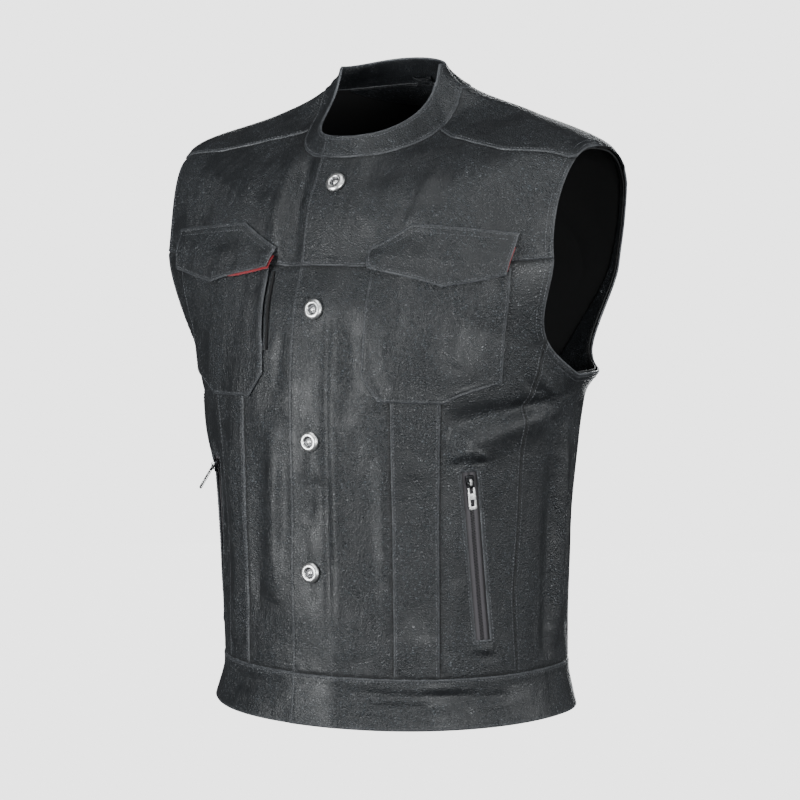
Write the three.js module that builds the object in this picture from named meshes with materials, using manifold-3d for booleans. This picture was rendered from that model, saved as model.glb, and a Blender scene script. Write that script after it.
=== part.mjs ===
// A sleeveless riding vest of black leather, worn and hollow, closed down the front by four snaps.
// Millimetres, +Z up. The front faces -Y and the wearer's left is +X.
//
// The body is one chart: a height h, taken up the centre front from the hem, and an angle in
// degrees round the body, 0 at the centre front, 90 at the wearer's left, 180 at the centre back.
// Widths on a panel are the arc s, in millimetres round the body from the centre front.

import * as THREE from "three";
import { mergeVertices } from "three/addons/utils/BufferGeometryUtils.js";
import Module from "manifold-3d";

const wasm = await Module();
wasm.setup();

// Cloth
const WALL = 1.8; // leather with its lining
const GAP = 0.3; // between two pieces
const REST = 0.6; // under a piece that lies on a panel
const LAYER = WALL + REST; // one piece lying on another
const LINING = 1.0; // the flap linings, the slit lip, the hanger loop and the zip tapes
const FACING = 1.2; // the strip inside each armhole
const FACING_REST = 2.0; // between that strip and the wall

// Heights up the centre front
const BAND_TOP = 51; // waistband seam
const YOKE = 454; // chest seam
const SEAM_TOP = 503.5; // where the shoulder seam meets the armhole
const NECK = 560; // collar seam
const COLLAR_TOP = 582;

// The place that hangs on the wearer: halfway along the shoulders, between the two sides
const HELD = { y: 10, z: 608 };

// The girth of the worn vest, level by level. front, side and back are heights above the hem,
// frontY, centreY and backY the depths of the centre front, of the sides and of the centre back.
// dip shapes how the level falls from the side to the centre front, square how flat the back is.
const RING_COLUMNS = [
  "front", "side", "back", "halfWidth", "frontY", "centreY", "backY", "dip", "square",
];
const RING_ROWS = [
  [0, 3, 0, 192, -168, 3, 133, 2, 2.15], // hem
  [51, 52, 52, 182, -162, 4, 131, 2, 2.15], // waistband seam
  [190, 188, 190, 187, -164, 0, 116, 2, 2.15], // waist
  [320, 320, 321, 204, -167, -6, 119, 2, 2.2], // ribs
  [412, 349, 347, 220, -159, -16, 123, 0.82, 2.5], // under the arm
  [454, 473, 438, 273, -145, 6, 137, 1.34, 2.9], // chest, cut away by the armholes
  [510, 572, 543, 234, -134, -11, 117, 2.0, 2.7], // shoulder tips
  [541, 608, 595, 141, -118, 7, 107, 1.28, 2.3], // middle of the shoulders
  [560, 631, 639, 82, -109, -10, 57, 0.45, 2.15], // collar seam
  [582, 656, 665, 58, -102, -16, 30, 0.4, 2.15], // top of the collar
];
const FRONT_ROUND = 2.15; // superellipse power of the front half
const SIDE_EASE = 0.06; // softens the highest point of a level at the side

// Armholes: from the pit to the tip, with the half widths in degrees in front and behind
const ARMHOLE = { pit: 412, tip: 510, front: 35, back: 52, frontSkew: 0.92, backSkew: 0.65 };

// Seams, as [height, arc] pairs
const LAP = 22; // each front passes the centre by this much
const TUCK = 20; // the hidden edge of the under front
const SEAM_A = [[0, 87], [560, 87]];
const SEAM_B = [[51, 132], [211, 133], [324, 137], [454, 139]];
const SEAM_C = [[51, 215], [130, 211], [207, 216], [262, 219], [308, 223], [421, 243]];
const SEAM_C_TOP = 421;
const SHOULDER_SEAM = [[503.5, 262], [512, 236], [524, 185], [537, 149], [548, 124], [560, 113]];
const SIDE_SEAM = 118; // degrees, behind the arm

// Chest pockets and their flaps
const POCKET_INNER = [[324, 76], [349, 57], [450, 59]];
const POCKET_OUTER = [[324, 140], [361, 197], [450, 199]];
const FLAP_TOP = [[53, 471], [99, 490], [206, 471]]; // [arc, height]
const FLAP_BOTTOM = [[53, 451], [135, 438], [206, 448]];
const FLAP_ENDS = { innerLow: 58, innerHigh: 53, outerLow: 195, outerHigh: 206 };
const FLAP_STAND = 1.6; // how far the loose edge stands off
const FLAP_CORNER = 3; // how far its corners curl up
const SLIT = { bottom: 372, top: 448, width: 6, mouth: 2.5 }; // at the right pocket's inner edge

// Hand pocket zips
const ZIP_LINE = [[89, 176], [252, 163]];
const ZIP_WINDOW = { bottom: 89, top: 252, half: 7.5 };
const ZIP_TAPE_HALF = 14;
const ZIP_OFFSETS = [-ZIP_TAPE_HALF, -ZIP_WINDOW.half, ZIP_WINDOW.half, ZIP_TAPE_HALF];
const SLIDER_HEIGHT = 243;
const SLIDER = { width: 9, length: 13, thick: 3, bridgeWidth: 2.4, bridgeLength: 8, bridgeTop: 6.2 };
const TUNNEL = { half: 1.6, bottom: 3.2, top: 5.4 };
const PULL = { half: 3.9, neck: 3.4, length: 27, thick: 1.3, slot: 11, slotHalf: 1.9 };
const PULL_HOLE = { top: 17, bottom: 23.5, half: 1.9 };
const PULL_REST = { left: 3, right: 35 }; // degrees out from the leather

// Snaps down the centre front
const SNAP_PLACES = [[534, 5.5], [412, 3.5], [283, 3.4], [153, 2.2]]; // [height, arc]
const SNAP_PROFILE = [
  [0, 0], [10.1, 0], [10.5, 1.5], [9.6, 3.1], [7.5, 4.2], [5.5, 3.8], [4.6, 2.0], [2.6, 2.0], [2.1, 3.4], [0, 3.4],
];
const SNAP_SIDES = 18;

// The largest folds: a crease line from one [height, arc] to another, its half width and its rise
const FOLD_COLUMNS = ["h0", "s0", "h1", "s1", "width", "rise"];
const FOLD_ROWS = [
  [566, -42, 448, -37, 12, -6], // valley beside the lap
  [560, -62, 462, -56, 15, 4],
  [520, -120, 470, -190, 18, -3],
  [300, -43, 118, -47, 12, 4.5],
  [286, -66, 95, -70, 13, -4],
  [300, -108, 70, -112, 14, 4],
  [280, -152, 80, -140, 15, -4],
  [330, -255, 250, -165, 16, 4.5],
  [322, 262, 300, 140, 15, -5], // drag line from under the left arm
  [306, 255, 270, 150, 16, 5],
  [290, 163, 260, 163, 14, 4],
  [300, 266, 60, 262, 12, -5],
  [290, 288, 70, 284, 13, 4.5],
  [250, 112, 90, 112, 16, -3],
  [520, 110, 480, 215, 20, -3],
  [500, 90, 462, 170, 20, 3],
  [26, 18, 24, 205, 11, -2.5], // along the waistband
  [26, -40, 27, -200, 11, -2.5],
  [385, 470, 250, 350, 24, -3.5], // back, from the arms towards the waist
  [385, -465, 245, -345, 24, -3.5],
  [350, 500, 210, 395, 24, 3],
  [345, -505, 215, -390, 24, 3],
  [250, 430, 70, 445, 20, -4],
  [240, -440, 75, -425, 20, -4],
  [470, 540, 440, 420, 26, -3],
];

const LEATHER = new THREE.MeshStandardMaterial({ color: 0x25272a, roughness: 0.5, metalness: 0 });
const RED_LINING = new THREE.MeshStandardMaterial({ color: 0x8e1420, roughness: 0.7, metalness: 0 });
const TAPE = new THREE.MeshStandardMaterial({ color: 0x35323a, roughness: 0.85, metalness: 0 });
const SILVER = new THREE.MeshStandardMaterial({ color: 0xc4c4c6, roughness: 0.28, metalness: 1 });

const radians = THREE.MathUtils.degToRad;
const mix = THREE.MathUtils.lerp;
const smooth = (from, to, x) => {
  const t = THREE.MathUtils.clamp((x - from) / (to - from), 0, 1);
  return t * t * (3 - 2 * t);
};

// A table's rows as objects with named columns.
const table = (columns, rows) =>
  rows.map((row) => Object.fromEntries(columns.map((name, i) => [name, row[i]])));

// The straight line through [x, y] pairs.
function line(pairs) {
  return (x) => {
    const last = pairs.length - 2;
    const i = Math.min(Math.max(pairs.findIndex((p) => p[0] > x) - 1, 0), last);
    const k = x >= pairs[last + 1][0] ? last : i;
    const [a, b] = [pairs[k], pairs[k + 1]];
    return mix(a[1], b[1], (x - a[0]) / (b[0] - a[0]));
  };
}

// A smooth curve through points that never swings past them.
function monotone(xs, ys) {
  const steps = xs.slice(1).map((x, i) => x - xs[i]);
  const slopes = steps.map((step, i) => (ys[i + 1] - ys[i]) / step);
  const end = (h0, h1, d0, d1) => {
    const t = ((2 * h0 + h1) * d0 - h0 * d1) / (h0 + h1);
    if (t * d0 <= 0) return 0;
    return d0 * d1 <= 0 && Math.abs(t) > 3 * Math.abs(d0) ? 3 * d0 : t;
  };
  const tangents = xs.map((_, i) => {
    if (i === 0) return end(steps[0], steps[1], slopes[0], slopes[1]);
    if (i === xs.length - 1) return end(steps.at(-1), steps.at(-2), slopes.at(-1), slopes.at(-2));
    if (slopes[i - 1] * slopes[i] <= 0) return 0;
    const [a, b] = [2 * steps[i] + steps[i - 1], steps[i] + 2 * steps[i - 1]];
    return (a + b) / (a / slopes[i - 1] + b / slopes[i]);
  });
  return (x) => {
    let i = 0;
    while (i < steps.length - 1 && x > xs[i + 1]) i++;
    const t = (x - xs[i]) / steps[i];
    const [t2, t3] = [t * t, t * t * t];
    return (
      (2 * t3 - 3 * t2 + 1) * ys[i] + (t3 - 2 * t2 + t) * steps[i] * tangents[i] +
      (3 * t2 - 2 * t3) * ys[i + 1] + (t3 - t2) * steps[i] * tangents[i + 1]
    );
  };
}

const RINGS = table(RING_COLUMNS, RING_ROWS);
const FOLDS = table(FOLD_COLUMNS, FOLD_ROWS);
const ringCurves = Object.fromEntries(
  RING_COLUMNS.slice(1).map((name) => [
    name,
    monotone(RINGS.map((ring) => ring.front), RINGS.map((ring) => ring[name])),
  ]),
);

const ringCache = new Map();
function ringAt(h) {
  if (!ringCache.has(h))
    ringCache.set(h, Object.fromEntries(Object.entries(ringCurves).map(([k, f]) => [k, f(h)])));
  return ringCache.get(h);
}

const power = (x, p) => Math.sign(x) * Math.abs(x) ** p;

// The point of the smooth body at a height and an angle.
function surface(h, degrees) {
  const ring = ringAt(h);
  const [s, c] = [Math.sin(radians(degrees)), Math.cos(radians(degrees))];
  const front = c > 0;
  const p = 2 / (front ? FRONT_ROUND : ring.square);
  const reach = front ? ring.centreY - ring.frontY : ring.backY - ring.centreY;
  const eased = (c * c * (1 + SIDE_EASE)) / (Math.abs(c) + SIDE_EASE);
  const drop = front ? (h - ring.side) * eased ** ring.dip : (ring.back - ring.side) * c * c;
  return new THREE.Vector3(
    ring.halfWidth * power(s, p),
    ring.centreY - reach * power(c, p),
    ring.side + drop,
  );
}

// The direction out of the body.
function outward(h, degrees) {
  const [dh, da] = [2, 1.5];
  const low = Math.max(h - dh, 0);
  const high = Math.min(h + dh, COLLAR_TOP);
  const round = surface(h, degrees + da).sub(surface(h, degrees - da));
  const up = surface(high, degrees).sub(surface(low, degrees));
  return round.cross(up).normalize();
}

const ARC_STEP = 0.5;
const arcCache = new Map();
// Arc lengths from the centre front to the centre back, one each half degree.
function arcs(h) {
  if (!arcCache.has(h)) {
    const lengths = [0];
    let last = surface(h, 0);
    for (let i = 1; i * ARC_STEP <= 180; i++) {
      const next = surface(h, i * ARC_STEP);
      lengths.push(lengths.at(-1) + next.distanceTo(last));
      last = next;
    }
    arcCache.set(h, lengths);
  }
  return arcCache.get(h);
}

function arcAt(h, degrees) {
  const turned = degrees > 180 ? degrees - 360 : degrees;
  const lengths = arcs(h);
  const x = Math.abs(turned) / ARC_STEP;
  const i = Math.min(Math.floor(x), lengths.length - 2);
  return Math.sign(turned) * mix(lengths[i], lengths[i + 1], x - i);
}

function angleAt(h, arc) {
  const lengths = arcs(h);
  const size = Math.abs(arc);
  const i = Math.max(lengths.findIndex((length) => length > size) - 1, 0);
  const part = (size - lengths[i]) / (lengths[i + 1] - lengths[i]);
  return Math.sign(arc) * (i + part) * ARC_STEP;
}

// How far the folds move the leather out at a place.
function folds(h, arc) {
  let rise = 0;
  for (const fold of FOLDS) {
    const [dh, ds] = [fold.h1 - fold.h0, fold.s1 - fold.s0];
    const along = ((h - fold.h0) * dh + (arc - fold.s0) * ds) / (dh * dh + ds * ds);
    const t = THREE.MathUtils.clamp(along, 0, 1);
    const away = Math.hypot(h - fold.h0 - t * dh, arc - fold.s0 - t * ds) / fold.width;
    rise += fold.rise * Math.exp(-away * away) * Math.sqrt(4 * t * (1 - t));
  }
  return rise;
}

// A point of the worn leather, moved out by lift.
function lifted(h, degrees, lift) {
  const rise = lift + folds(h, arcAt(h, degrees));
  return surface(h, degrees).addScaledVector(outward(h, degrees), rise);
}

const armFront = (h) => 90 - ARMHOLE.front * armBulge(h, ARMHOLE.frontSkew);
const armBack = (h) => 90 + ARMHOLE.back * armBulge(h, ARMHOLE.backSkew);
function armBulge(h, skew) {
  const t = THREE.MathUtils.clamp((h - ARMHOLE.pit) / (ARMHOLE.tip - ARMHOLE.pit), 0, 1);
  return Math.sqrt(Math.max(1 - (2 * t ** skew - 1) ** 2, 0));
}

// The left front lies over the right one at the centre.
const overlap = (h, degrees) =>
  degrees < 90 ? LAYER * (1 - smooth(LAP, 2 * LAP, arcAt(h, degrees))) : 0;
const flat = () => 0;

// A piece of cloth, drawn as cells on the chart and closed into a wall.
class Sheet {
  constructor() {
    this.corners = [];
    this.index = new Map();
    this.cells = [];
  }

  corner([h, degrees, lift = 0]) {
    const key = h.toFixed(3) + " " + degrees.toFixed(3);
    if (!this.index.has(key)) {
      this.index.set(key, this.corners.length);
      this.corners.push({ h, degrees, lift });
    }
    return this.index.get(key);
  }

  // place(i, j) gives a corner as [h, degrees, lift]; columns run round the body and rows go up.
  patch(columns, rows, place, open = () => false) {
    const at = [];
    for (let j = 0; j <= rows; j++) {
      at.push([]);
      for (let i = 0; i <= columns; i++) at[j].push(this.corner(place(i, j)));
    }
    for (let j = 0; j < rows; j++)
      for (let i = 0; i < columns; i++)
        if (!open(i, j)) this.cells.push([at[j][i], at[j][i + 1], at[j + 1][i + 1], at[j + 1][i]]);
    return this;
  }

  // Columns are lines that each give an angle at a height.
  strips(lines, heights, open) {
    return this.patch(
      lines.length - 1,
      heights.length - 1,
      (i, j) => [heights[j], lines[i](heights[j])],
      open,
    );
  }

  faces() {
    const faces = [];
    for (const [a, b, c, d] of this.cells)
      for (const face of [[a, b, c], [a, c, d]])
        if (new Set(face).size === 3) faces.push(face);
    return faces;
  }

  geometry(wall, lift) {
    const count = this.corners.length;
    const positions = [];
    for (const thickness of [wall, 0])
      for (const corner of this.corners) {
        const rise = corner.lift + lift(corner.h, corner.degrees) + thickness;
        positions.push(...lifted(corner.h, corner.degrees, rise).toArray());
      }
    const index = [];
    const rim = new Map();
    for (const [a, b, c] of this.faces()) {
      index.push(a, b, c, a + count, c + count, b + count);
      for (const [from, to] of [[a, b], [b, c], [c, a]])
        if (!rim.delete(to + " " + from)) rim.set(from + " " + to, [from, to]);
    }
    for (const [from, to] of rim.values())
      index.push(to, from, from + count, to, from + count, to + count);
    const geometry = new THREE.BufferGeometry();
    geometry.setAttribute("position", new THREE.Float32BufferAttribute(positions, 3));
    geometry.setIndex(index);
    return geometry;
  }
}

// The same lines on the wearer's other side, still running round the body the same way.
function onSide(side, lines) {
  return side > 0 ? lines : lines.map((angle) => (h) => -angle(h)).reverse();
}

// count + 1 lines from one to the other.
function spread(count, from, to) {
  return Array.from({ length: count + 1 }, (_, i) => (h) => mix(from(h), to(h), i / count));
}

const atArc = (arc, shift = 0) => (h) => angleAt(h, arc(h) + shift);
const seamA = line(SEAM_A);
const seamB = line(SEAM_B);
const seamC = line(SEAM_C);
const shoulderSeam = line(SHOULDER_SEAM);
const HALF_GAP = GAP / 2;

const garment = new THREE.Group();
garment.position.set(0, -HELD.y, -HELD.z);

function add(name, geometry, material, place) {
  const mesh = new THREE.Mesh(geometry, material);
  mesh.name = name;
  if (place) mesh.applyMatrix4(place);
  garment.add(mesh);
  return mesh;
}

const SIDES = [
  { name: "left", sign: 1, lift: overlap },
  { name: "right", sign: -1, lift: flat },
];

// Shared levels, so that neighbours bend at the same places
const ZIP_ROWS = [77, ZIP_WINDOW.bottom, 130, 171, 212, ZIP_WINDOW.top, 262];
const LOW_ROWS = [BAND_TOP + HALF_GAP, 63, ...ZIP_ROWS, 282, 304, 328, 352, 376, 400];
const HIGH_ROWS = [421, 426, 433, 443, YOKE - HALF_GAP];
const YOKE_ROWS = [YOKE + HALF_GAP, 464, 475, 486, 496, SEAM_TOP, 508, 510, 512, 523, 534, 547, NECK - GAP];
const BACK_ARM_ROWS = [417, 422, 430, 440, 450, 461, 472, 484, 495, SEAM_TOP + 1, 508, 509.5, 510];
const BACK_TOP_ROWS = [512, 523, 534, 547, NECK - GAP];
const COLLAR_ROWS = [NECK + GAP, 565, 571, 576.5, COLLAR_TOP];
const BACK_HALF = [0, 0.03, 0.07, 0.12, 0.18, 0.25, 0.33, 0.42];
const BACK_PARTS = [...BACK_HALF, 0.5, ...BACK_HALF.map((part) => 1 - part).reverse()];
const BAND_ROWS = [0, 12, 26, 40, BAND_TOP - HALF_GAP];

// Lines of a front from its edge at the centre, where both fronts bend at the same arcs.
function frontLines(sign, count, end) {
  const lap = [sign > 0 ? -LAP : -TUCK, -8, 8, 22, 36].map((arc) => (h) => angleAt(h, arc));
  return [...lap.slice(0, -1), ...spread(count, lap.at(-1), end)];
}

function makeFronts({ name, sign, lift }) {
  const lower = [...LOW_ROWS, 412, ...HIGH_ROWS];
  const add1 = (piece, lines, rows, open) => {
    const sheet = new Sheet().strips(onSide(sign, lines), rows, open);
    add(piece + "_" + name, sheet.geometry(WALL, lift), LEATHER);
  };

  const yokeEnd = (h) => (h <= SEAM_TOP ? armFront(h) : angleAt(h, shoulderSeam(h) - HALF_GAP));
  add1("front_yoke", frontLines(sign, 12, yokeEnd), YOKE_ROWS);
  add1("front_centre", frontLines(sign, 3, atArc(seamA, -HALF_GAP)), lower);
  add1("front_mid", spread(3, atArc(seamA, HALF_GAP), atArc(seamB, -HALF_GAP)), lower);

  const zip = line(ZIP_LINE);
  const clampZip = (h) => zip(THREE.MathUtils.clamp(h, ZIP_ROWS[0], ZIP_ROWS.at(-1)));
  const start = atArc(seamB, HALF_GAP);
  const byZip = ZIP_OFFSETS.map((offset) => atArc(clampZip, offset));
  const end = (h) => (h < SEAM_C_TOP ? angleAt(h, seamC(h) - HALF_GAP) : armFront(h));
  const lines = [start, ...byZip, ...spread(2, byZip.at(-1), end).slice(1)];
  const window = (i, j) => {
    const column = sign > 0 ? i : lines.length - 2 - i;
    return column === 2 && lower[j] >= ZIP_WINDOW.bottom && lower[j] < ZIP_WINDOW.top;
  };
  add1("front_side", lines, lower, window);
}

// The height of the armhole's lower edge at an angle.
function armBottom(angle) {
  const edge = angle < 90 ? armFront : armBack;
  let [low, high] = [ARMHOLE.pit, mix(ARMHOLE.pit, ARMHOLE.tip, 0.25)];
  for (let i = 0; i < 40; i++) {
    const middle = (low + high) / 2;
    if (Math.abs(edge(middle) - 90) < Math.abs(angle - 90)) low = middle;
    else high = middle;
  }
  return low;
}

const SIDE_ROWS = [...LOW_ROWS, 412, SEAM_C_TOP];
const sideSeamFront = () => SIDE_SEAM - HALF_GAP / 3;
const sideSeamBack = () => SIDE_SEAM + HALF_GAP / 3;

// The panel under the arm: its upper edge is the bottom of the armhole.
function makeSide({ name, sign }) {
  const columns = 8;
  const bottom = SIDE_ROWS[0];
  const front = atArc(seamC, HALF_GAP);
  const place = (i, j) => {
    const u = sign > 0 ? i / columns : 1 - i / columns;
    const part = (SIDE_ROWS[j] - bottom) / (SEAM_C_TOP - bottom);
    const top = armBottom(mix(front(SEAM_C_TOP), sideSeamFront(), u));
    return [mix(bottom, top, part), sign * mix(front(SIDE_ROWS[j]), sideSeamFront(), u)];
  };
  const sheet = new Sheet().patch(columns, SIDE_ROWS.length - 1, place);
  add("side_" + name, sheet.geometry(WALL, flat), LEATHER);
}

// The back is one piece that reaches over the shoulders to the forward shoulder seams.
function makeBack() {
  const seamTop = armBottom(sideSeamBack());
  const bottom = SIDE_ROWS[0];
  const low = SIDE_ROWS.map((h) => mix(bottom, seamTop, (h - bottom) / (SEAM_C_TOP - bottom)));
  const rows = [...low, ...BACK_ARM_ROWS, ...BACK_TOP_ROWS];
  const start = (h) => {
    if (h < seamTop) return sideSeamBack();
    return h < ARMHOLE.tip ? armBack(h) : 90;
  };
  const lines = BACK_PARTS.map((part) => (h) => mix(start(h), 360 - start(h), part));
  const sheet = new Sheet().strips(lines, rows);
  const over = rows.filter((h) => h > SEAM_TOP);
  const seam = (h) => (h === over[0] ? armFront(h) : angleAt(h, shoulderSeam(h) + HALF_GAP));
  const ridge = (h) => (h < ARMHOLE.tip ? armFront(h) : 90);
  for (const sign of [1, -1]) {
    const turn = sign > 0 ? 0 : 360;
    const flap = onSide(sign, spread(4, seam, ridge));
    sheet.strips(flap.map((angle) => (h) => turn + angle(h)), over);
  }
  add("back", sheet.geometry(WALL, flat), LEATHER);
}

function makeBand() {
  for (const { name, sign, lift } of SIDES) {
    const lines = onSide(sign, frontLines(sign, 14, sideSeamFront));
    const sheet = new Sheet().strips(lines, BAND_ROWS);
    add("waistband_" + name, sheet.geometry(WALL, lift), LEATHER);
  }
  const back = new Sheet().strips(spread(16, sideSeamBack, () => 360 - sideSeamBack()), BAND_ROWS);
  add("waistband_back", back.geometry(WALL, flat), LEATHER);
}

// A low stand collar, open at the centre front, its left end over its right end.
function makeCollar() {
  const lines = spread(52, (h) => angleAt(h, -LAP), (h) => 360 + angleAt(h, TUCK));
  const sheet = new Sheet().strips(lines, COLLAR_ROWS);
  add("collar", sheet.geometry(WALL, (h, degrees) => (degrees < 180 ? overlap(h, degrees) : 0)), LEATHER);

  const loop = { half: 11, low: 562, high: 565.5, stand: 3.5, columns: 6 };
  const place = (i, j) => {
    const u = (2 * i) / loop.columns - 1;
    const h = j ? loop.high : loop.low;
    const angle = 180 + (180 - angleAt(h, arcAt(h, 180) - loop.half)) * u;
    return [h, angle, -LAYER + WALL - LINING - loop.stand * (1 - u * u)];
  };
  const strap = new Sheet().patch(loop.columns, 1, place);
  add("hanger_loop", strap.geometry(LINING, flat), LEATHER);
}

function makePocket({ name, sign }) {
  const rows = [324, 340, 352, 364, 376, 400, 412, 421, 426, 433, 443, 450];
  const [inner, outer] = [line(POCKET_INNER), line(POCKET_OUTER)];
  const columns = 9;
  const mouth = (h, arc) => {
    const inSlit = smooth(SLIT.bottom, SLIT.bottom + 20, h);
    return sign > 0 ? 0 : SLIT.mouth * inSlit * (1 - smooth(0, 18, arc - inner(h)));
  };
  const place = (i, j) => {
    const u = sign > 0 ? i / columns : 1 - i / columns;
    const arc = mix(inner(rows[j]), outer(rows[j]), u);
    return [rows[j], sign * angleAt(rows[j], arc), LAYER + mouth(rows[j], arc)];
  };
  const sheet = new Sheet().patch(columns, rows.length - 1, place);
  add("pocket_" + name, sheet.geometry(WALL, flat), LEATHER);
}

const FLAP_COLUMNS = [0, 0.1, 0.2, 0.3, 0.38, 0.46, 0.54, 0.66, 0.78, 0.9, 1];
const FLAP_ROWS = [0, 0.3, 0.6, 1];
const flapTop = line(FLAP_TOP);
const flapBottom = line(FLAP_BOTTOM);

// A corner of a flap: u along it from its inner end, v up from its loose edge.
function flapCorner(sign, u, v, inset, drop) {
  const from = mix(FLAP_ENDS.innerLow, FLAP_ENDS.innerHigh, v) + inset;
  const to = mix(FLAP_ENDS.outerLow, FLAP_ENDS.outerHigh, v) - inset;
  const arc = mix(from, to, u);
  const h = mix(flapBottom(arc) + inset, flapTop(arc), v);
  const over = LAYER + LINING + REST + FLAP_STAND;
  const curl = FLAP_CORNER * (smooth(0.82, 1, u) + 1 - smooth(0, 0.18, u)) * (1 - v);
  const lift = LAYER + HALF_GAP + over * (1 - smooth(0.35, 0.9, v)) + curl - drop;
  return [h, sign * angleAt(h, arc), lift];
}

function makeFlap({ name, sign }) {
  const column = (i) => (sign > 0 ? FLAP_COLUMNS[i] : FLAP_COLUMNS.at(-1 - i));
  const last = FLAP_COLUMNS.length - 1;
  const flap = new Sheet().patch(last, FLAP_ROWS.length - 1, (i, j) =>
    flapCorner(sign, column(i), FLAP_ROWS[j], 0, 0),
  );
  add("flap_" + name, flap.geometry(WALL, flat), LEATHER);
  const lining = new Sheet().patch(last, 1, (i, j) =>
    flapCorner(sign, column(i), j * FLAP_ROWS[1], 1, LINING + REST),
  );
  add("flap_lining_" + name, lining.geometry(LINING, flat), RED_LINING);
}

// The lip inside the open side of the right pocket.
function makeSlitLining() {
  const rows = [SLIT.bottom, 386, 400, 412, 421, 433, SLIT.top];
  const inner = line(POCKET_INNER);
  const place = (i, j) => {
    const arc = inner(rows[j]) - GAP - SLIT.width * (i ? 0 : 1);
    return [rows[j], -angleAt(rows[j], arc), LAYER];
  };
  const sheet = new Sheet().patch(1, rows.length - 1, (i, j) => place(1 - i, j));
  add("slit_lining_right", sheet.geometry(LINING, flat), LEATHER);
}

// A strip inside the edge of each armhole.
function makeFacing({ name, sign }) {
  const columns = 40;
  const rows = 3;
  const wide = { pit: -36, tip: 6, front: 6, back: 7 };
  const place = (i, j) => {
    const turn = (2 * Math.PI * i) / columns;
    const grow = 1 - j / rows;
    const t = (1 - Math.cos(turn)) / 2;
    const behind = turn < Math.PI;
    const skew = behind ? ARMHOLE.backSkew : ARMHOLE.frontSkew;
    const bulge = Math.sqrt(Math.max(1 - (2 * t ** skew - 1) ** 2, 0));
    const h = mix(ARMHOLE.pit + grow * wide.pit, ARMHOLE.tip + grow * wide.tip, t);
    const [front, back] = [ARMHOLE.front + grow * wide.front, ARMHOLE.back + grow * wide.back];
    return [h, sign * (90 + (behind ? back : -front) * bulge), -FACING_REST - FACING];
  };
  const run = (i, j) => place(sign > 0 ? i : columns - i, j);
  const closed = (i, j) => run(i % columns, j);
  const sheet = new Sheet().patch(columns, rows, closed);
  add("armhole_facing_" + name, sheet.geometry(FACING, flat), LEATHER);
}

// Axes of the leather at a place: along the body, up it and out of it, with the point as origin.
function frameAt(h, degrees, lift, lean = 0) {
  const out = outward(h, degrees);
  const up = surface(h + 6, degrees + lean * 6).sub(surface(h - 6, degrees - lean * 6));
  up.addScaledVector(out, -up.dot(out)).normalize();
  const round = new THREE.Vector3().crossVectors(up, out);
  return new THREE.Matrix4().makeBasis(round, up, out).setPosition(lifted(h, degrees, lift));
}

// The same axes, moved out until a hard piece of this reach clears the leather all round.
function seatAt(h, degrees, lift, reach, lean = 0) {
  const frame = frameAt(h, degrees, lift, lean);
  const inverse = frame.clone().invert();
  const around = [-reach, -reach / 2, 0, reach / 2, reach];
  let rise = 0;
  for (const up of around)
    for (const round of around) {
      const there = angleAt(h + up, arcAt(h, degrees) + round);
      rise = Math.max(rise, lifted(h + up, there, lift).applyMatrix4(inverse).z);
    }
  return frame.multiply(new THREE.Matrix4().makeTranslation(0, 0, rise));
}

function makeSnaps() {
  const profile = SNAP_PROFILE.map(([r, z]) => new THREE.Vector2(r, z));
  SNAP_PLACES.forEach(([h, arc], i) => {
    const cap = new THREE.LatheGeometry(profile, SNAP_SIDES).rotateX(Math.PI / 2);
    const seat = seatAt(h, angleAt(h, arc), LAYER + WALL + GAP, SNAP_PROFILE[1][0]);
    add("snap_" + (i + 1), cap, SILVER, seat);
  });
}

function toManifold(geometry) {
  const bare = geometry.clone();
  bare.deleteAttribute("normal");
  bare.deleteAttribute("uv");
  const merged = mergeVertices(bare, 1e-4);
  return new wasm.Manifold(
    new wasm.Mesh({
      numProp: 3,
      vertProperties: merged.attributes.position.array,
      triVerts: new Uint32Array(merged.index.array),
    }),
  );
}

function fromManifold(solid) {
  const mesh = solid.getMesh();
  const geometry = new THREE.BufferGeometry();
  geometry.setAttribute("position", new THREE.BufferAttribute(mesh.vertProperties, 3));
  return geometry.setIndex(new THREE.BufferAttribute(mesh.triVerts, 1));
}

const rectangle = (path, x0, y0, x1, y1) =>
  path.moveTo(x0, y0).lineTo(x1, y0).lineTo(x1, y1).lineTo(x0, y1).closePath();

// A plate cut to an outline and centred on the plane of the outline.
function plate(shape, thickness) {
  const options = { depth: thickness, bevelEnabled: false, curveSegments: 5 };
  return new THREE.ExtrudeGeometry(shape, options).translate(0, 0, -thickness / 2);
}

// The slider: a block with a bridge over it, which holds the pull.
function sliderGeometry() {
  const { width, length, thick, bridgeWidth, bridgeLength, bridgeTop } = SLIDER;
  const half = length / 2;
  const block = new THREE.Shape();
  block.moveTo(-width / 3, -half).lineTo(width / 3, -half).lineTo(width / 2, 0);
  block.lineTo(width / 2.2, half).lineTo(-width / 2.2, half).lineTo(-width / 2, 0).closePath();
  const body = plate(block, thick).translate(0, 0, thick / 2);

  const side = new THREE.Shape();
  const foot = thick - 0.5;
  side.moveTo(-bridgeLength / 2, foot).lineTo(bridgeLength / 2, foot);
  side.lineTo(bridgeLength / 2 - 0.8, bridgeTop).lineTo(0.8 - bridgeLength / 2, bridgeTop).closePath();
  side.holes.push(rectangle(new THREE.Path(), -TUNNEL.half, TUNNEL.bottom, TUNNEL.half, TUNNEL.top));
  const bridge = plate(side, bridgeWidth).applyMatrix4(
    new THREE.Matrix4().makeBasis(
      new THREE.Vector3(0, 1, 0),
      new THREE.Vector3(0, 0, 1),
      new THREE.Vector3(1, 0, 0),
    ),
  );
  return fromManifold(toManifold(body).add(toManifold(bridge)));
}

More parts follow.
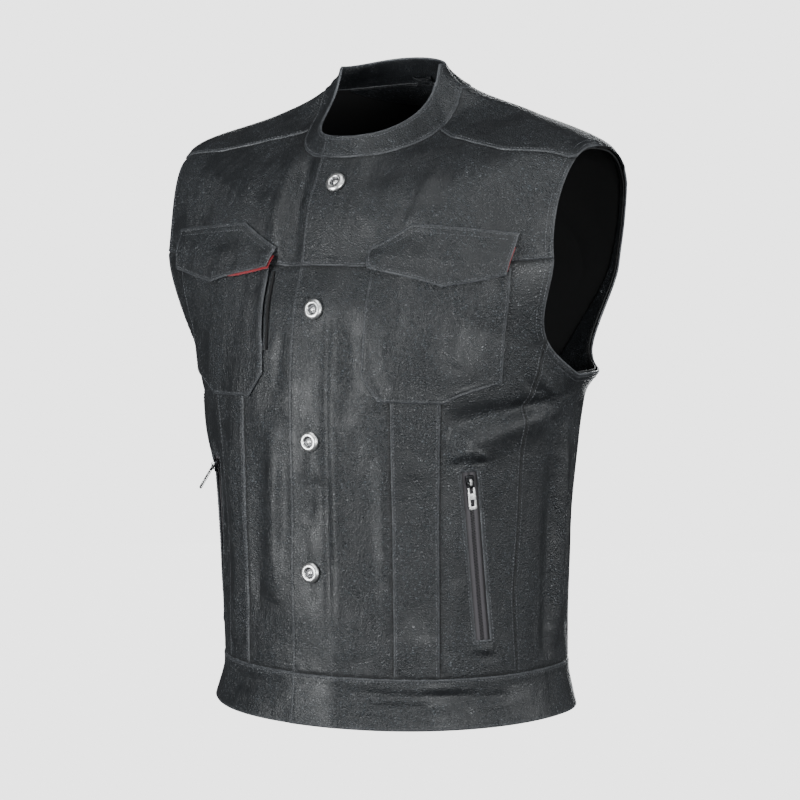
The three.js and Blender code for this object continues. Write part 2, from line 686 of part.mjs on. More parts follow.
// The pull: a plate whose cross bar turns in the slider's tunnel.
function pullGeometry() {
  const bar = PULL.thick / 2;
  const corner = 1.5;
  const shape = new THREE.Shape();
  shape.moveTo(-PULL.neck, bar).lineTo(PULL.neck, bar).lineTo(PULL.half, -PULL.slot - 3);
  shape.lineTo(PULL.half, corner - PULL.length);
  shape.quadraticCurveTo(PULL.half, -PULL.length, PULL.half - corner, -PULL.length);
  shape.lineTo(corner - PULL.half, -PULL.length);
  shape.quadraticCurveTo(-PULL.half, -PULL.length, -PULL.half, corner - PULL.length);
  shape.lineTo(-PULL.half, -PULL.slot - 3).closePath();
  const { top, bottom, half } = PULL_HOLE;
  shape.holes.push(rectangle(new THREE.Path(), -PULL.slotHalf, -PULL.slot, PULL.slotHalf, -bar));
  shape.holes.push(rectangle(new THREE.Path(), -half, -bottom, half, -top));
  return plate(shape, PULL.thick);
}

function makeZip({ name, sign }) {
  const zip = line(ZIP_LINE);
  const lines = onSide(sign, ZIP_OFFSETS.map((offset) => atArc(zip, offset)));
  const tape = new Sheet().strips(lines, ZIP_ROWS);
  add("zip_tape_" + name, tape.geometry(LINING, () => -REST - LINING), TAPE);

  const angle = angleAt(SLIDER_HEIGHT, zip(SLIDER_HEIGHT));
  const below = angleAt(SLIDER_HEIGHT - 20, zip(SLIDER_HEIGHT - 20));
  const lean = (angle - below) / 20;
  const seat = seatAt(SLIDER_HEIGHT, sign * angle, GAP - REST, SLIDER.length / 2, sign * lean);
  add("zip_slider_" + name, sliderGeometry(), SILVER, seat);
  const axle = new THREE.Matrix4().makeTranslation(0, 0, (TUNNEL.bottom + TUNNEL.top) / 2);
  const swing = new THREE.Matrix4().makeRotationX(-radians(PULL_REST[name]));
  add("zip_pull_" + name, pullGeometry(), SILVER, seat.clone().multiply(axle).multiply(swing));
}

for (const side of SIDES) {
  makeFronts(side);
  makeSide(side);
  makePocket(side);
  makeFlap(side);
  makeFacing(side);
  makeZip(side);
}
makeSlitLining();
makeBack();
makeBand();
makeCollar();
makeSnaps();

const group = new THREE.Group();
group.add(garment);

export default group;
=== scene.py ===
"""A leather riding vest, dressed in leather, lining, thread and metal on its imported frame.

Sizes are in millimetres in the vest's own chart: a height h up the centre front from the hem, an
angle in degrees round the body (0 centre front, 90 the wearer's left, 180 centre back), and an arc
in millimetres round the body from the centre front. Meshes are in metres in the row frame.
"""

import logging
import math
from dataclasses import dataclass, field
from enum import Enum
from typing import Callable, Iterable, Optional, Sequence

import bmesh
import bpy
import numpy as np
from mathutils import Matrix, Vector
from mathutils.bvhtree import BVHTree

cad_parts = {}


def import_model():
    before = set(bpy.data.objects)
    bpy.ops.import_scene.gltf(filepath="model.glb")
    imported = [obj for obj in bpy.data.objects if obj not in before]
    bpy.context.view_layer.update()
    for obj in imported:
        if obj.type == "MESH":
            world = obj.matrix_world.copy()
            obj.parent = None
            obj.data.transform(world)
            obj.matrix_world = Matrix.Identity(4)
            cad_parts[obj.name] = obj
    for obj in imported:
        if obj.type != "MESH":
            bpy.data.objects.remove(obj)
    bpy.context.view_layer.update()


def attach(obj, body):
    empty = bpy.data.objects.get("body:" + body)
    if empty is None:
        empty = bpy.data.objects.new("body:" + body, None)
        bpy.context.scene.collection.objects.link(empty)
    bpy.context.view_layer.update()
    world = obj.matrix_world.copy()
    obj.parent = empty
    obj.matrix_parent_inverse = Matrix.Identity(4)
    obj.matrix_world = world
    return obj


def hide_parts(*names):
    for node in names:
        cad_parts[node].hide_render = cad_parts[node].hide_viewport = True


log = logging.getLogger("vest")

MM = 0.001
BODY = "vest"
HELD = np.array([0.0, 10.0, 608.0])  # the place that hangs on the wearer, in the garment

Array = np.ndarray
Line = Callable[[Array], Array]  # an arc in millimetres for a height

WALL = 1.8  # leather and lining together
GAP = -0.2  # between sewn edges, which lap by this much
REST = 0.6  # between a layer and the face it lies on
LAYER = WALL + REST  # how far out what lies on a panel starts
LINING = 1.0
FACING = 1.2
FACING_REST = 2.0
BAND_TOP = 51.0
YOKE = 454.0
SEAM_TOP = 503.5
NECK = 560.0
COLLAR_TOP = 582.0
LAP = 22.0  # how far the left front reaches over the centre
TUCK = 20.0  # how far the right front reaches under it
PIT, TIP = 412.0, 510.0  # the armhole's lowest and highest places
FRONT_REACH, FRONT_SKEW = 35.0, 0.92  # the armhole's width to the front, and how low it is widest
BACK_REACH, BACK_SKEW = 52.0, 0.65
SIDE_SEAM = 118.0
SEAM_C_TOP = 421.0  # where the outer front seam meets the armhole
STITCH_IN = 3.4  # from an edge to its row of stitches
WINDOW = 7.5  # half the width of the opening over a zip
WINDOW_LOW, WINDOW_HIGH = 89.0, 252.0
SLIDER_AT = 243.0


@dataclass(frozen=True)
class Ring:
    """One level of the worn vest: heights, half width, depths and the two shape numbers."""

    h: float
    side: float
    back: float
    half_width: float
    front_y: float
    centre_y: float
    back_y: float
    dip: float
    square: float


RINGS = (
    Ring(0, 3, 0, 192, -168, 3, 133, 2, 2.15),
    Ring(51, 52, 52, 182, -162, 4, 131, 2, 2.15),
    Ring(190, 188, 190, 187, -164, 0, 116, 2, 2.15),
    Ring(320, 320, 321, 204, -167, -6, 119, 2, 2.2),
    Ring(412, 349, 347, 220, -159, -16, 123, 0.82, 2.5),
    Ring(454, 473, 438, 273, -145, 6, 137, 1.34, 2.9),
    Ring(510, 572, 543, 234, -134, -11, 117, 2.0, 2.7),
    Ring(541, 608, 595, 141, -118, 7, 107, 1.28, 2.3),
    Ring(560, 631, 639, 82, -109, -10, 57, 0.45, 2.15),
    Ring(582, 656, 665, 58, -102, -16, 30, 0.4, 2.15),
)
FRONT_ROUND = 2.15
SIDE_EASE = 0.06


@dataclass(frozen=True)
class Fold:
    """A crease line from one (height, arc) to another, its half width and its rise."""

    h0: float
    s0: float
    h1: float
    s1: float
    width: float
    rise: float


FOLDS = tuple(
    Fold(*row)
    for row in (
        (566, -42, 448, -37, 12, -6),
        (560, -62, 462, -56, 15, 4),
        (520, -120, 470, -190, 18, -3),
        (300, -43, 118, -47, 12, 4.5),
        (286, -66, 95, -70, 13, -4),
        (300, -108, 70, -112, 14, 4),
        (280, -152, 80, -140, 15, -4),
        (330, -255, 250, -165, 16, 4.5),
        (322, 262, 300, 140, 15, -5),
        (306, 255, 270, 150, 16, 5),
        (290, 163, 260, 163, 14, 4),
        (300, 266, 60, 262, 12, -5),
        (290, 288, 70, 284, 13, 4.5),
        (250, 112, 90, 112, 16, -3),
        (520, 110, 480, 215, 20, -3),
        (500, 90, 462, 170, 20, 3),
        (26, 18, 24, 205, 11, -2.5),
        (26, -40, 27, -200, 11, -2.5),
        (385, 470, 250, 350, 24, -3.5),
        (385, -465, 245, -345, 24, -3.5),
        (350, 500, 210, 395, 24, 3),
        (345, -505, 215, -390, 24, 3),
        (250, 430, 70, 445, 20, -4),
        (240, -440, 75, -425, 20, -4),
        (470, 540, 440, 420, 26, -3),
    )
)
# Narrower wrinkles that only the dressed vest has
CREASES = tuple(
    Fold(*row)
    for row in (
        (318, 236, 296, 150, 6, -2.0),
        (312, 262, 286, 176, 7, 1.4),
        (258, 148, 265, 163, 3, -2.0),
        (265, 163, 258, 179, 3, -2.0),
        (266, 144, 272, 163, 3.5, 1.7),
        (272, 163, 264, 182, 3.5, 1.7),
        (274, 150, 279, 163, 3, -1.2),
        (279, 163, 273, 178, 3, -1.2),
        (80, 168, 78, 187, 4, 1.8),
        (73, 162, 71, 192, 4, -1.4),
        (275, 30, 95, 32, 6, 2.0),
        (270, 66, 80, 70, 8, -1.8),
        (270, 78, 150, 77, 5, 1.2),
        (300, 8, 240, 4, 7, 1.4),
        (390, -34, 330, -40, 6, -1.8),
        (400, 32, 320, 36, 7, 1.5),
        (400, 46, 335, 50, 6, -1.4),
        (445, 96, 365, 92, 6, -1.2),
        (440, 160, 372, 150, 8, 1.2),
        (150, 150, 80, 146, 7, 1.4),
        (235, 190, 150, 196, 7, -1.5),
        (250, 14, 205, -4, 6, -1.8),
        (262, 20, 222, 4, 6, 1.4),
        (430, 20, 70, 22, 4, -2.0),
        (558, 21, 462, 20, 4, -1.2),
        (448, -10, 420, -16, 4, 1.0),
        (200, -8, 120, 2, 6, -1.2),
        (205, 40, 70, 46, 9, 1.5),
        (300, 52, 160, 60, 9, -1.4),
        (240, 106, 120, 108, 7, 1.0),
        (41, 60, 40, 170, 3, 1.2),
        (22, 60, 24, 118, 3, -1.4),
        (12, 30, 14, 110, 4, -1.3),
        (33, 128, 30, 205, 3.2, -1.6),
        (24, 150, 21, 215, 3.6, 1.4),
        (36, 30, 37, 90, 3.5, -1.3),
        (34, 100, 37, 178, 3.5, -1.4),
        (20, 20, 17, 96, 4.5, 1.3),
        (16, 110, 19, 200, 5, 1.2),
        (30, 45, 29, 128, 3, 1.0),
        (37, -30, 36, -130, 3.5, -1.3),
        (18, -36, 20, -150, 5, 1.3),
        (255, 272, 90, 268, 6, -3.1),
        (262, 281, 80, 277, 6, 2.6),
        (225, 292, 70, 288, 6, -2.4),
        (285, 303, 110, 299, 6.5, 2.6),
        (320, 312, 170, 312, 6.5, -2.4),
        (330, 326, 150, 330, 7, 2.1),
        (300, 345, 90, 342, 8, -2.1),
        (190, 258, 62, 256, 6, -1.8),
        (200, 230, 90, 228, 5, 1.2),
        (350, 262, 300, 240, 6, -1.5),
        (345, 285, 296, 262, 7, 1.8),
        (400, 232, 350, 262, 8, 1.5),
        (392, 214, 352, 236, 7, -1.2),
        (470, 214, 455, 232, 6, 1.1),
        (498, 60, 476, 118, 9, -1.2),
        (528, 60, 512, 150, 10, 1.4),
        (515, 40, 500, 100, 8, -1.0),
        (280, -30, 150, -34, 7, -1.5),
        (250, -92, 120, -86, 6, 1.4),
        (350, -250, 300, -180, 8, -1.4),
        (330, -300, 180, -312, 8, 1.8),
        (310, -326, 120, -330, 8, -1.8),
        (420, 470, 360, 420, 9, -1.8),
        (400, 500, 330, 440, 10, 1.5),
        (420, -470, 360, -420, 9, -1.8),
        (400, -505, 335, -440, 10, 1.5),
        (260, 520, 100, 530, 12, 1.6),
        (240, -520, 110, -512, 12, -1.5),
        (180, 470, 70, 480, 9, -1.5),
        (500, 420, 470, 500, 12, -1.5),
        (505, -430, 474, -505, 12, -1.4),
        (290, 287, 75, 283, 3, 1.5),
        (260, 297, 120, 291, 2.6, -1.6),
        (300, 302, 90, 306, 3, 1.6),
        (240, 309, 70, 312, 2.8, -1.5),
        (330, 275, 230, 279, 3, -1.2),
        (560, -40, 455, -36, 6, -2.4),
        (552, -54, 462, -50, 8, 1.6),
        (582, 118, 556, 112, 3.2, 0.7),
        (582, 128, 556, 125, 3.2, -0.7),
        (582, 141, 554, 137, 3.4, 0.8),
        (582, 151, 556, 150, 3, -0.7),
        (582, 164, 554, 162, 3.6, 0.7),
        (582, 176, 558, 176, 3.2, -0.7),
        (582, -124, 556, -118, 3.4, 0.7),
        (582, -137, 556, -133, 3.2, -0.7),
        (582, -150, 554, -148, 3.6, 0.8),
        (582, -166, 556, -163, 3.2, -0.7),
        (30, 360, 28, 520, 5, -1.5),
        (28, -350, 31, -510, 5, -1.5),
    )
)


def smooth(low: float, high: float, x: Array) -> Array:
    """A soft step from 0 at low to 1 at high."""
    t = np.clip((np.asarray(x, float) - low) / (high - low), 0, 1)
    return t * t * (3 - 2 * t)


def knots(*pairs: tuple[float, float]) -> Line:
    """A line through (height, arc) pairs that runs on straight past both ends.

    Args:
        pairs: Its corners.

    Returns:
        The line.
    """
    xs = np.array([p[0] for p in pairs], float)
    ys = np.array([p[1] for p in pairs], float)

    def at(x: Array) -> Array:
        """The arc at each height."""
        x = np.asarray(x, float)
        i = np.clip(np.searchsorted(xs, x, side="right") - 1, 0, len(xs) - 2)
        return ys[i] + (x - xs[i]) * (ys[i + 1] - ys[i]) / (xs[i + 1] - xs[i])

    return at


SEAM_A = knots((0, 87), (560, 87))
SEAM_B = knots((51, 132), (211, 133), (324, 137), (454, 139))
SEAM_C = knots((51, 215), (130, 211), (207, 216), (262, 219), (308, 223), (421, 243))
SHOULDER = knots((503.5, 262), (512, 236), (524, 185), (537, 149), (548, 124), (560, 113))
POCKET_INNER = knots((324, 76), (349, 57), (450, 59))
POCKET_OUTER = knots((324, 140), (361, 197), (450, 199))
FLAP_TOP = knots((53, 471), (99, 490), (206, 471))
FLAP_BOTTOM = knots((53, 451), (135, 438), (206, 448))
ZIP = knots((89, 176), (252, 163))
ZIP_LOW, ZIP_HIGH = 77.0, 262.0


def shifted(line: Line, by: float) -> Line:
    """The same line, moved round the body by some millimetres."""
    return lambda h: line(h) + by


class Form:
    """The form of the worn vest: places, directions and arcs on it."""

    def __init__(self) -> None:
        """Works out the level curves and the tables of arcs."""
        self.heights = np.array([r.h for r in RINGS], float)
        names = ("side", "back", "half_width", "front_y", "centre_y", "back_y", "dip", "square")
        values = np.array([[getattr(r, name) for name in names] for r in RINGS], float)
        self.values = values
        self.slopes = self._tangents(values)
        self.rows = np.arange(0, COLLAR_TOP + 0.5, 1.0)
        self.turns = np.arange(0, 180.25, 0.5)
        points = self.surface(self.rows[:, None], self.turns[None, :])
        steps = np.linalg.norm(np.diff(points, axis=1), axis=2)
        self.lengths = np.concatenate([np.zeros((len(self.rows), 1)), np.cumsum(steps, 1)], 1)
        self.parts = np.linspace(0, 1, 1201)
        self.turned = np.array(
            [np.interp(self.parts * row[-1], row, self.turns) for row in self.lengths]
        )

    def _tangents(self, ys: Array) -> Array:
        """Slopes at the rings that keep each curve between its neighbours.

        Args:
            ys: The rings' values, one ring a row.

        Returns:
            The slopes, laid out as ys.
        """
        steps = np.diff(self.heights)[:, None]
        slopes = np.diff(ys, axis=0) / steps
        tangents = np.zeros_like(ys)
        a = 2 * steps[1:] + steps[:-1]
        b = steps[1:] + 2 * steps[:-1]
        same = slopes[:-1] * slopes[1:] > 0
        safe = np.where(same, slopes[:-1], 1), np.where(same, slopes[1:], 1)
        tangents[1:-1] = np.where(same, (a + b) / (a / safe[0] + b / safe[1]), 0)

        def end(h0: float, h1: float, d0: Array, d1: Array) -> Array:
            """The slope at an end, from its two nearest spans."""
            t = ((2 * h0 + h1) * d0 - h0 * d1) / (h0 + h1)
            t = np.where(t * d0 <= 0, 0, t)
            return np.where((d0 * d1 <= 0) & (np.abs(t) > 3 * np.abs(d0)), 3 * d0, t)

        tangents[0] = end(steps[0, 0], steps[1, 0], slopes[0], slopes[1])
        tangents[-1] = end(steps[-1, 0], steps[-2, 0], slopes[-1], slopes[-2])
        return tangents

    def level(self, h: Array) -> list[Array]:
        """The ring's values at any height.

        Args:
            h: Heights.

        Returns:
            One array for each value.
        """
        i = np.clip(np.searchsorted(self.heights, h, side="left") - 1, 0, len(self.heights) - 2)
        step = self.heights[i + 1] - self.heights[i]
        t = ((h - self.heights[i]) / step)[..., None]
        step = step[..., None]
        t2, t3 = t * t, t * t * t
        mixed = (
            (2 * t3 - 3 * t2 + 1) * self.values[i]
            + (t3 - 2 * t2 + t) * step * self.slopes[i]
            + (3 * t2 - 2 * t3) * self.values[i + 1]
            + (t3 - t2) * step * self.slopes[i + 1]
        )
        return [mixed[..., k] for k in range(mixed.shape[-1])]

    def surface(self, h: Array, degrees: Array) -> Array:
        """Points of the smooth body, in garment millimetres.

        Args:
            h: Heights.
            degrees: Angles round the body.

        Returns:
            The points.
        """
        h, degrees = np.broadcast_arrays(np.asarray(h, float), np.asarray(degrees, float))
        side, back, half, front_y, centre_y, back_y, dip, square = self.level(h)
        s, c = np.sin(np.radians(degrees)), np.cos(np.radians(degrees))
        front = c > 0
        power = 2 / np.where(front, FRONT_ROUND, square)
        reach = np.where(front, centre_y - front_y, back_y - centre_y)
        eased = c * c * (1 + SIDE_EASE) / (np.abs(c) + SIDE_EASE)
        drop = np.where(front, (h - side) * eased**dip, (back - side) * c * c)
        x = half * np.sign(s) * np.abs(s) ** power
        y = centre_y - reach * np.sign(c) * np.abs(c) ** power
        return np.stack([x, y, side + drop], -1)

    def outward(self, h: Array, degrees: Array) -> Array:
        """Directions out of the body.

        Args:
            h: Heights.
            degrees: Angles round the body.

        Returns:
            Unit vectors.
        """
        low, high = np.maximum(h - 2, 0), np.minimum(h + 2, COLLAR_TOP)
        around = self.surface(h, degrees + 1.5) - self.surface(h, degrees - 1.5)
        up = self.surface(high, degrees) - self.surface(low, degrees)
        out = np.cross(around, up)
        return out / np.linalg.norm(out, axis=-1, keepdims=True)

    def _rows(self, h: Array) -> tuple[Array, Array]:
        """The table row under each height and the part of the way to the next."""
        i = np.clip(np.floor(h).astype(int), 0, len(self.rows) - 2)
        return i, h - i

    def arc_at(self, h: Array, degrees: Array) -> Array:
        """Arcs from the centre front, negative on the wearer's right.

        Args:
            h: Heights.
            degrees: Angles round the body.

        Returns:
            The arcs.
        """
        h, degrees = np.broadcast_arrays(np.asarray(h, float), np.asarray(degrees, float))
        turned = np.where(degrees > 180, degrees - 360, degrees)
        i, part = self._rows(h)
        x = np.abs(turned) / 0.5
        k = np.clip(np.floor(x).astype(int), 0, len(self.turns) - 2)
        f = x - k

        def row(r: Array) -> Array:
            """The arcs in a row of the table."""
            return self.lengths[r, k] * (1 - f) + self.lengths[r, k + 1] * f

        return np.sign(turned) * (row(i) * (1 - part) + row(i + 1) * part)

    def angle_at(self, h: Array, arc: Array) -> Array:
        """Angles of arcs, the other way round.

        Args:
            h: Heights.
            arc: Arcs from the centre front.

        Returns:
            The angles.
        """
        h, arc = np.broadcast_arrays(np.asarray(h, float), np.asarray(arc, float))
        i, part = self._rows(h)
        total = self.lengths[i, -1] * (1 - part) + self.lengths[i + 1, -1] * part
        x = np.clip(np.abs(arc) / total, 0, 1) * (len(self.parts) - 1)
        k = np.clip(np.floor(x).astype(int), 0, len(self.parts) - 2)
        f = x - k

        def row(r: Array) -> Array:
            """The angles in a row of the table."""
            return self.turned[r, k] * (1 - f) + self.turned[r, k + 1] * f

        return np.sign(arc) * (row(i) * (1 - part) + row(i + 1) * part)

    @staticmethod
    def relief(folds: Iterable[Fold], h: Array, arc: Array) -> Array:
        """How far folds move the leather out.

        Args:
            folds: The folds.
            h: Heights.
            arc: Arcs from the centre front.

        Returns:
            The rise, in millimetres.
        """
        rise = np.zeros(np.broadcast(h, arc).shape)
        for fold in folds:
            dh, ds = fold.h1 - fold.h0, fold.s1 - fold.s0
            along = ((h - fold.h0) * dh + (arc - fold.s0) * ds) / (dh * dh + ds * ds)
            t = np.clip(along, 0, 1)
            away = np.hypot(h - fold.h0 - t * dh, arc - fold.s0 - t * ds) / fold.width
            rise += fold.rise * np.exp(-away * away) * np.sqrt(4 * t * (1 - t))
        return rise

    @staticmethod
    def slack(h: Array, arc: Array) -> Array:
        """Small uneven waves that no worn leather is without.

        Args:
            h: Heights.
            arc: Arcs from the centre front.

        Returns:
            The rise, in millimetres.
        """
        waves = (
            (0.31, 41.0, 23.0, 0.4),
            (0.24, -29.0, 37.0, 2.1),
            (0.17, 17.0, 21.0, 4.4),
            (0.12, -13.0, 11.0, 1.3),
        )
        total = np.zeros(np.broadcast(h, arc).shape)
        for rise, across, up, phase in waves:
            bend = 1.7 * np.sin(arc / 63.0 + phase) + 1.3 * np.sin(h / 71.0 - phase)
            total += rise * np.sin(arc / across + h / up + bend + phase)
        return total

    def place(self, h: Array, degrees: Array, lift: Array, fine: bool = True) -> Array:
        """Points of the worn leather in the row frame, in metres.

        Args:
            h: Heights.
            degrees: Angles round the body.
            lift: How far out from the inner face, in millimetres.
            fine: Whether the narrow wrinkles and waves are added.

        Returns:
            The points, one row for each.
        """
        arc = self.arc_at(h, degrees)
        rise = lift + self.relief(FOLDS, h, arc)
        if fine:
            rise = rise + self.relief(CREASES, h, arc) + self.slack(h, arc)
        out = self.surface(h, degrees) + self.outward(h, degrees) * rise[..., None]
        return (out - HELD) * MM


FORM = Form()


def arm_bulge(h: Array, skew: float) -> Array:
    """How far the armhole's edge stands from the side at a height, from 0 to 1."""
    t = np.clip((np.asarray(h, float) - PIT) / (TIP - PIT), 0, 1)
    return np.sqrt(np.maximum(1 - (2 * t**skew - 1) ** 2, 0))


def arm_front(h: Array) -> Array:
    """The angle of the armhole's front edge."""
    return 90 - FRONT_REACH * arm_bulge(h, FRONT_SKEW)


def arm_back(h: Array) -> Array:
    """The angle of the armhole's back edge."""
    return 90 + BACK_REACH * arm_bulge(h, BACK_SKEW)


def arm_bottom(degrees: Array) -> Array:
    """The height of the armhole's lower edge at an angle.

    Args:
        degrees: Angles round the body.

    Returns:
        The heights.
    """
    h = np.linspace(PIT, PIT + 0.25 * (TIP - PIT), 900)
    angles = np.concatenate([arm_front(h)[::-1], arm_back(h)[1:]])
    return np.interp(degrees, angles, np.concatenate([h[::-1], h[1:]]))


def lap_lift(h: Array, degrees: Array) -> Array:
    """The left front's rise over the right one at the centre."""
    arc = FORM.arc_at(h, degrees)
    return np.where(np.abs(degrees) < 90, LAYER * (1 - smooth(LAP, 2 * LAP, arc)), 0)


def no_lift(h: Array, degrees: Array) -> Array:
    """No rise at all."""
    return np.zeros(np.broadcast(h, degrees).shape)


class Edge(Enum):
    """How a piece ends: its drop at the edge, the drop's reach, its swell, its rub and its painted shade."""

    SEAM = (0.9, 1.8, 0.0, 0.2, 0.8)
    UNDER = (0.8, 4.5, 0.0, 0.0, 1.0)
    OVER = (0.9, 1.0, 0.5, 0.9, 0.0)
    FOLDED = (0.7, 1.2, 0.35, 1.0, 0.0)
    PLAIN = (0.0, 1.0, 0.0, 0.0, 0.0)
    SHADOW = (0.0, 1.0, 0.0, 0.0, 1.0)

    def profile(self, away: Array) -> Array:
        """The rise of the outer face at a distance in from the edge.

        Args:
            away: Distances, in millimetres.

        Returns:
            The rise, in millimetres.
        """
        drop, reach, swell, _, _ = self.value
        rise = -drop * (1 - smooth(0, reach, away)) ** 1.5
        if swell:
            rise = rise + swell * (smooth(0, 1.6, away) - smooth(3.0, 10, away))
            rise = rise - 0.32 * np.exp(-(((away - STITCH_IN) / 0.9) ** 2))
        return rise

    @property
    def rub(self) -> float:
        """How much paler the edge is rubbed."""
        return self.value[3]

    @property
    def shade(self) -> float:
        """How much painted shade darkens the edge, down in its seam."""
        return self.value[4]


def nearest_on(points: Array, line: Array) -> tuple[Array, Array]:
    """The distance from points to a line, and how far along it the nearest place is.

    Args:
        points: Points, one a row.
        line: Corners of the line, one a row.

    Returns:
        Distances and lengths along the line, in the units of the points.
    """
    starts, steps = line[:-1], np.diff(line, axis=0)
    sizes = np.maximum((steps**2).sum(1), 1e-12)
    lengths = np.concatenate([[0], np.cumsum(np.sqrt(sizes))])[:-1]
    away, along = np.empty(len(points)), np.empty(len(points))
    for k in range(0, len(points), 4096):
        part = points[k : k + 4096, None, :] - starts[None]
        t = np.clip((part * steps).sum(2) / sizes, 0, 1)
        gap = ((part - t[..., None] * steps) ** 2).sum(2)
        i = gap.argmin(1)
        pick = np.arange(len(i))
        away[k : k + 4096] = np.sqrt(gap[pick, i])
        along[k : k + 4096] = lengths[i] + t[pick, i] * np.sqrt(sizes[i])
    return away, along


FINE_STEPS = (0.5, 1.1, 1.9, 2.7, 3.4, 4.2, 5.4, 7.2, 9.6)


def spaced(width: float, step: float, near: bool = True, far: bool = True) -> Array:
    """Parts from 0 to 1 that are a step apart, and closer together beside an edge.

    Args:
        width: The width they share out, in millimetres.
        step: The usual step.
        near: Whether the start is an edge.
        far: Whether the end is an edge.

    Returns:
        The parts, 0 and 1 included.
    """
    fine = [s for s in FINE_STEPS if s < width / 2 - step / 3]
    low = fine if near else []
    high = [width - s for s in reversed(fine)] if far else []
    start, stop = (low[-1] if low else 0.0), (high[0] if high else width)
    count = max(int(round((stop - start) / step)), 1)
    middle = np.linspace(start, stop, count + 1)[1:-1]
    return np.unique(np.concatenate([[0], low, middle, high, [width]])) / width


def across(lines: Sequence[Line], widths: Sequence[float], edges: Sequence[bool], step: float) -> Line:
    """Many lines from a few, with closer ones beside the edges.

    Args:
        lines: Arcs that bound the strips.
        widths: The usual width of each strip.
        edges: For each line, whether it is an edge.
        step: The usual step.

    Returns:
        A function of heights that gives one arc a column.
    """
    shares = [
        spaced(width, step, edges[k], edges[k + 1]) for k, width in enumerate(widths)
    ]

    def at(h: Array) -> Array:
        """The arcs at each height, one a column."""
        h = np.asarray(h, float)
        columns = [lines[0](h)[:, None]]
        for k, parts in enumerate(shares):
            a, b = lines[k](h)[:, None], lines[k + 1](h)[:, None]
            columns.append(a + (b - a) * parts[None, 1:])
        return np.concatenate(columns, 1)

    return at


@dataclass
class Weave:
    """A grid of the chart: heights, angles and lifts, one a corner, and cells left out."""

    h: Array
    degrees: Array
    lift: Array
    open: Optional[Array] = None


def stretch(h: float) -> float:
    """How many millimetres of leather one step of height covers where it covers most.

    Args:
        h: The height.

    Returns:
        The millimetres for each step of 1.
    """
    if h < 404:
        return 1.0
    if h < 455:
        return 2.7
    return 1.8 if h < 512 else 1.35


def levels(low: float, high: float, step: float = 3.0, near: bool = True, far: bool = True) -> Array:
    """Heights that are a step of leather apart, and closer together beside an edge.

    Args:
        low: The lowest.
        high: The highest.
        step: The usual step.
        near: Whether the lowest is an edge.
        far: Whether the highest is an edge.

    Returns:
        The heights, both ends included.
    """
    inner = [low]
    while inner[-1] < high:
        inner.append(inner[-1] + step / stretch(inner[-1]))
    inner = low + (np.array(inner) - low) * (high - low) / (inner[-1] - low)
    fine = np.array(FINE_STEPS[:-1])
    starts = low + fine / stretch(low) if near else np.array([])
    ends = high - fine / stretch(high - 1) if far else np.array([])
    bottom = starts.max() + 1 if near else low
    top = ends.min() - 1 if far else high
    middle = inner[(inner > bottom) & (inner < top)]
    return np.unique(np.concatenate([[low], starts, middle, ends, [high]]))


Lift = Callable[[Array, Array], Array]


def strip(at: Line, rows: Array, sign: int, lift: Lift) -> Weave:
    """A grid between arcs at each height, on either side of the wearer.

    Args:
        at: The arcs at each height.
        rows: The heights.
        sign: 1 on the wearer's left, -1 on the right.
        lift: How far out it lies.

    Returns:
        The grid.
    """
    arcs = at(rows)
    h = np.repeat(rows[:, None], arcs.shape[1], 1)
    degrees = sign * FORM.angle_at(h, arcs)
    if sign < 0:
        h, degrees = h[:, ::-1], degrees[:, ::-1]
    return Weave(h, degrees, lift(h, degrees))


def handed(sign: int, h: Array, arcs: Array, lift: Array) -> Weave:
    """A grid through arcs, with its columns turned about on the wearer's right.

    Args:
        sign: 1 on the wearer's left, -1 on the right.
        h: Heights.
        arcs: Arcs from the centre front.
        lift: How far out it lies.

    Returns:
        The grid.
    """
    degrees = sign * FORM.angle_at(h, arcs)
    return Weave(h[:, ::sign], degrees[:, ::sign], lift[:, ::sign])


@dataclass
class Border:
    """A stretch of a piece's edge: what it is, its points and the directions out of them."""

    edge: Edge
    points: Array
    out: Array


def border(edge: Edge, h: Array, degrees: Array, lift: Array, wall: float = WALL) -> Border:
    """A border through places of the chart, on a piece's outer face."""
    h, degrees, lift = np.broadcast_arrays(h * 1.0, degrees * 1.0, lift * 1.0)
    return Border(edge, FORM.place(h, degrees, lift + wall), FORM.outward(h, degrees))


def grid_borders(weave: Weave, wall: float, **kinds: Edge) -> dict[str, Border]:
    """The four sides of a grid as borders; near and far run up it, low and high along it.

    Args:
        weave: The grid.
        wall: The piece's thickness.
        kinds: What each side is.

    Returns:
        The borders by name.
    """
    cuts = {
        "near": np.s_[:, 0],
        "far": np.s_[:, -1],
        "low": np.s_[0, :],
        "high": np.s_[-1, :],
    }
    return {
        name: border(kind, weave.h[cuts[name]], weave.degrees[cuts[name]], weave.lift[cuts[name]], wall)
        for name, kind in kinds.items()
    }


class Finish(Enum):
    """The materials, by the names of their slots."""

    LEATHER = "leather"
    RED = "red_lining"
    TAPE = "zip_tape"
    SILVER = "silver"


def mesh_object(name: str, mesh: bpy.types.Mesh) -> bpy.types.Object:
    """Links a new object that holds a mesh.

    Args:
        name: The object's name.
        mesh: Its mesh.

    Returns:
        The object.
    """
    item = bpy.data.objects.new(name, mesh)
    bpy.context.scene.collection.objects.link(item)
    return item


